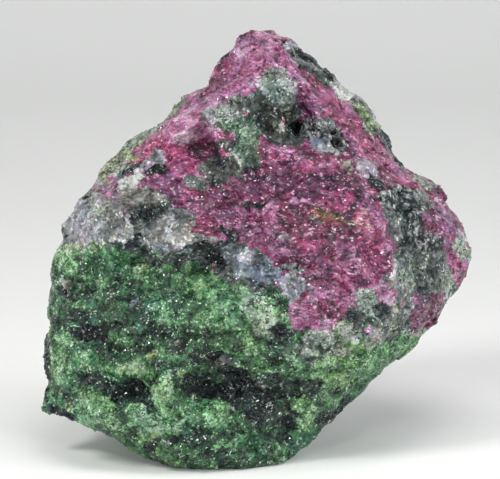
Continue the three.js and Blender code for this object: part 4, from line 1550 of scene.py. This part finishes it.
def mineral_material(
    name, *, ior, crystal, stretch, contrast, hue, shade_in_cracks, lean, glints, reach, grit, speck, gloss
):
    """Broken crystal: a cloudy body under clear little faces.
    crystal is the width of its crystals in mm and stretch how much longer they are. contrast and
    hue say how far crystals differ in light and in hue, grit how far their faces differ in light,
    and shade_in_cracks how light the painted shade in the cracks between them is. lean is how far
    crystals turn off the surface, glints the width of the faces in mm and gloss the share of them
    that shines. speck is the colour of pale specks, partly pale grains and partly painted glints.
    reach is how far red, green and blue light go in, in mm."""
    made = bpy.data.materials.new(name)
    made.use_nodes = True
    tree = made.node_tree
    tree.nodes.clear()
    cells = crystal_cells(tree, crystal, stretch, glints)
    light = body_light(tree, cells, contrast, grit, shade_in_cracks)
    shining = {0: cells["face chances"]["Green"], 1: 1 - gloss}
    rough = {"Value": cells["crystal chances"]["Green"], 3: ROUGH[0], 4: ROUGH[1]}
    surface = node(tree, "ShaderNodeBsdfPrincipled", {
        "Base Color": body_colour(tree, cells, light, hue, speck),
        "Roughness": node(tree, "ShaderNodeMapRange", rough).outputs[0],
        "Normal": leaned(tree, cells["crystals"], lean),
        "IOR": ior,
        "Specular IOR Level": BODY_SHINE,
        "Subsurface Weight": CLOUDY if reach else 0.0,
        "Subsurface Radius": reach or (1.0, 1.0, 1.0),
        "Subsurface Scale": MM,
        "Coat Weight": node(tree, "ShaderNodeMath", shining, operation="GREATER_THAN").outputs[0],
        "Coat Roughness": FACE_POLISH,
        "Coat IOR": ior,
        "Coat Normal": leaned(tree, cells["faces"], FACE_LEAN),
    })
    node(tree, "ShaderNodeOutputMaterial", {"Surface": surface.outputs[0]})
    return made


print("the body is rough from", ROUGH[0], "to", ROUGH[1], "and its shining faces", FACE_POLISH)

# %% [markdown]
# Zoisite, broken: a green silicate in grains like coarse sugar. They pass some light, so their
# thin edges glow, and their faces differ most of all, from deep green to frosty.

# %% Zoisite
zoisite = mineral_material(
    "zoisite, broken", ior=1.70, crystal=0.6, stretch=1, contrast=0.3, hue=0.05, shade_in_cracks=0.25,
    lean=1, glints=0.2, reach=(0.15, 0.3, 0.15), grit=0.95, speck="b4c8ae", gloss=0.54,
)
print(zoisite.name)

# %% [markdown]
# Ruby, in mass: corundum full of cracks and parting planes, in pieces longer than they are wide.
# It has the highest index of the four, so its lit faces flash, and red light goes deeper into it
# than green and blue.

# %% Ruby
ruby = mineral_material(
    "ruby, parted", ior=1.77, crystal=0.6, stretch=1.8, contrast=0.22, hue=0.03, shade_in_cracks=0.28,
    lean=0.8, glints=0.19, reach=(0.5, 0.15, 0.25), grit=0.8, speck="c8a0b4", gloss=0.6,
)
print(ruby.name)

# %% [markdown]
# Feldspar, cleaved: white to bluish, cloudy like porcelain, with light spreading evenly in it.
# Its cleavage blocks are larger and calmer than the grains of the others.

# %% Feldspar
feldspar = mineral_material(
    "feldspar, cleaved", ior=1.53, crystal=1, stretch=1, contrast=0.28, hue=0.03, shade_in_cracks=0.45,
    lean=0.6, glints=0.28, reach=(0.8, 0.8, 0.8), grit=0.55, speck="d4d6d6", gloss=0.5,
)
print(feldspar.name)

# %% [markdown]
# Hornblende, glassy: nearly black blades with a bright shine on each face, which let no light in.

# %% Hornblende
hornblende = mineral_material(
    "hornblende, glassy", ior=1.66, crystal=0.6, stretch=1, contrast=0.4, hue=0.06, shade_in_cracks=0.6,
    lean=1, glints=0.22, reach=None, grit=0.8, speck="8f9f98", gloss=0.52,
)
print(hornblende.name)

# %% [markdown]
# Every piece rides on the part's one body, and the skin stands for the CAD node. The skin gets a
# map of its own, for textures to be baked to: the bearing round the stone across, and the slope up
# from its heart. Unwrapping would cut so rough a surface into thousands of scraps.

# %% Dress the pieces
HEART = np.array([1, 0, 22])


def skin_map(rock):
    """A map of the skin by its bearing and its slope from the stone's heart."""
    mesh = rock.data
    way = unit(points_of(mesh) - HEART)
    bearing = np.arctan2(way[:, 1], way[:, 0]) / (2 * math.pi) + 0.5
    level = 0.5 + 0.5 * way[:, 2]
    at = values_of(mesh.loops, "vertex_index")
    turn = bearing[at]
    first = turn[values_of(mesh.polygons, "loop_start")]
    lead = np.repeat(first, values_of(mesh.polygons, "loop_total"))
    turn = np.clip(turn - np.round(turn - lead), 0, 1)
    spots = np.stack([turn, level[at]], axis=1)
    mesh.uv_layers.new(name="OFBake").uv.foreach_set("vector", spots.astype(np.float32).ravel())


def finish_by_mineral(rock, mineral):
    """Gives each face of the skin the finish of the mineral at its first corner."""
    mesh = rock.data
    for material in finishes:
        mesh.materials.append(material)
    first = values_of(mesh.loops, "vertex_index")[values_of(mesh.polygons, "loop_start")]
    mesh.polygons.foreach_set("material_index", mineral[first].astype(np.int32))
    mesh.update()


def dress(piece):
    """Says which body a piece rides on."""
    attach(piece, "root")


finishes = [zoisite, zoisite, ruby, feldspar, hornblende]
skin_map(rock)
finish_by_mineral(rock, skin_mineral)
dress(rock)
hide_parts(ROCK_NODE)
for name, material in zip(minerals, finishes):
    for piece in (grains[name], large.get("large_" + name + "_crystals")):
        if piece:
            piece.data.materials.append(material)
            dress(piece)

# %% [markdown]
# The stage. The stone stands on a pale table that sweeps up to a pale wall behind it. One
# profile, extruded sideways, makes both without a corner. Its paper shows only from the front, so
# that the stone can be seen from behind too.

# %% Table and backdrop
WALL_BEHIND = 0.27
TABLE_BEFORE = 0.9
WALL_HEIGHT = 0.9
SWEEP = 0.1
SWEEP_STEPS = 12
STAGE_HALF_WIDTH = 0.8


def sweep_stage():
    """The table, the bend and the wall, from one extruded profile."""
    profile = bmesh.new()
    bend = WALL_BEHIND - SWEEP
    spots = [(-TABLE_BEFORE, 0), (bend, 0)]
    for step in range(1, SWEEP_STEPS + 1):
        turn = 0.5 * math.pi * step / SWEEP_STEPS
        spots.append((bend + SWEEP * math.sin(turn), SWEEP - SWEEP * math.cos(turn)))
    spots.append((WALL_BEHIND, WALL_HEIGHT))
    verts = [bmesh.ops.create_vert(profile, co=(-STAGE_HALF_WIDTH, *spot))["vert"][0] for spot in spots]
    edges = [profile.edges.new(pair) for pair in zip(verts, verts[1:])]
    side = bmesh.ops.extrude_edge_only(profile, edges=edges)["geom"]
    moved = [part for part in side if isinstance(part, bmesh.types.BMVert)]
    bmesh.ops.translate(profile, verts=moved, vec=(2 * STAGE_HALF_WIDTH, 0, 0))
    profile.normal_update()
    profile.faces.ensure_lookup_table()
    if profile.faces[0].normal.z < 0:
        bmesh.ops.reverse_faces(profile, faces=profile.faces)
    mesh = bpy.data.meshes.new("table_and_backdrop")
    profile.to_mesh(mesh)
    profile.free()
    mesh.shade_smooth()
    return mesh_object("table_and_backdrop", mesh)


stage = sweep_stage()
paper = bpy.data.materials.new("matt white paper")
paper.use_nodes = True
sheet = paper.node_tree
paper_surface = sheet.nodes["Principled BSDF"]
paper_surface.inputs["Base Color"].default_value = (*linear("f1f2f1"), 1)
paper_surface.inputs["Roughness"].default_value = 0.85
one_sided = node(sheet, "ShaderNodeMixShader", {
    0: node(sheet, "ShaderNodeNewGeometry", {}).outputs["Backfacing"],
    1: paper_surface.outputs[0],
    2: node(sheet, "ShaderNodeBsdfTransparent", {}).outputs[0],
})
sheet.links.new(one_sided.outputs[0], sheet.nodes["Material Output"].inputs["Surface"])
stage.data.materials.append(paper)
print("stage of", len(stage.data.polygons), "faces")

# %% [markdown]
# Light. Softboxes overhead and on the right light the faces and leave soft shade under the
# ledges. Smaller lamps, upper left and in front, find the shining faces and make the glints. Low
# lamps on both sides light the rims, and a faint pale surround keeps the hollows from going black.
# A bright surround alone would be simpler, but it makes no glints.

# %% Lights
VIEW_MIDDLE = part_place(-0.8, 26.16, -5)
# Each lamp's place and side in metres, its power in watts and its colour.
lamps = {
    "overhead softbox": ((0.03, -0.07, 0.28), 0.15, 0.33, (1, 0.99, 0.98)),
    "right softbox": ((0.26, -0.08, 0.2), 0.13, 0.24, (0.98, 0.99, 1)),
    "upper left lamp": ((-0.16, -0.14, 0.24), 0.08, 0.42, (1, 0.99, 0.97)),
    "low right lamp": ((0.2, -0.03, 0.07), 0.1, 0.12, (1, 1, 1)),
    "low left lamp": ((-0.2, 0.02, 0.06), 0.1, 0.1, (1, 1, 1)),
    "front left lamp": ((-0.14, -0.3, 0.1), 0.055, 0.25, (0.98, 0.99, 1)),
    "front right lamp": ((0.12, -0.3, 0.12), 0.05, 0.2, (0.98, 0.99, 1)),
}
SURROUND_COLOUR = (0.92, 0.96, 1, 1)
SURROUND_STRENGTH = 0.08


def softbox(name, place, side, watts, colour):
    """A square lamp that faces the stone."""
    lamp = bpy.data.lights.new(name, "AREA")
    lamp.shape = "SQUARE"
    lamp.size = side
    lamp.energy = watts
    lamp.color = colour
    made = bpy.data.objects.new(name, lamp)
    made.location = place
    made.rotation_euler = (VIEW_MIDDLE - Vector(place)).to_track_quat("-Z", "Y").to_euler()
    bpy.context.scene.collection.objects.link(made)


for name, lamp in lamps.items():
    softbox(name, *lamp)
world = bpy.data.worlds.new("pale surround")
world.use_nodes = True
surround = world.node_tree.nodes["Background"]
surround.inputs["Color"].default_value = SURROUND_COLOUR
surround.inputs["Strength"].default_value = SURROUND_STRENGTH
bpy.context.scene.world = world
bpy.context.scene.view_settings.view_transform = "Standard"

# %% [markdown]
# The camera looks down on the stone by the angle of its lean, from far enough away that the
# picture is nearly flat, as a long close-up lens gives it.

# %% Camera
CAMERA_DISTANCE = 1.2
PICTURE_WIDTH = 57.5 * MM

camera_data = bpy.data.cameras.new("camera")
camera_data.sensor_width = 36
camera_data.lens = camera_data.sensor_width * CAMERA_DISTANCE / PICTURE_WIDTH
camera_data.clip_end = 10
camera = bpy.data.objects.new("camera", camera_data)
camera.location = VIEW_MIDDLE + CAMERA_DISTANCE * Vector(TOWARDS_EYE)
camera.rotation_euler = (VIEW_MIDDLE - camera.location).to_track_quat("-Z", "Y").to_euler()
bpy.context.scene.collection.objects.link(camera)
bpy.context.scene.camera = camera
print("lens", round(camera_data.lens), "mm")
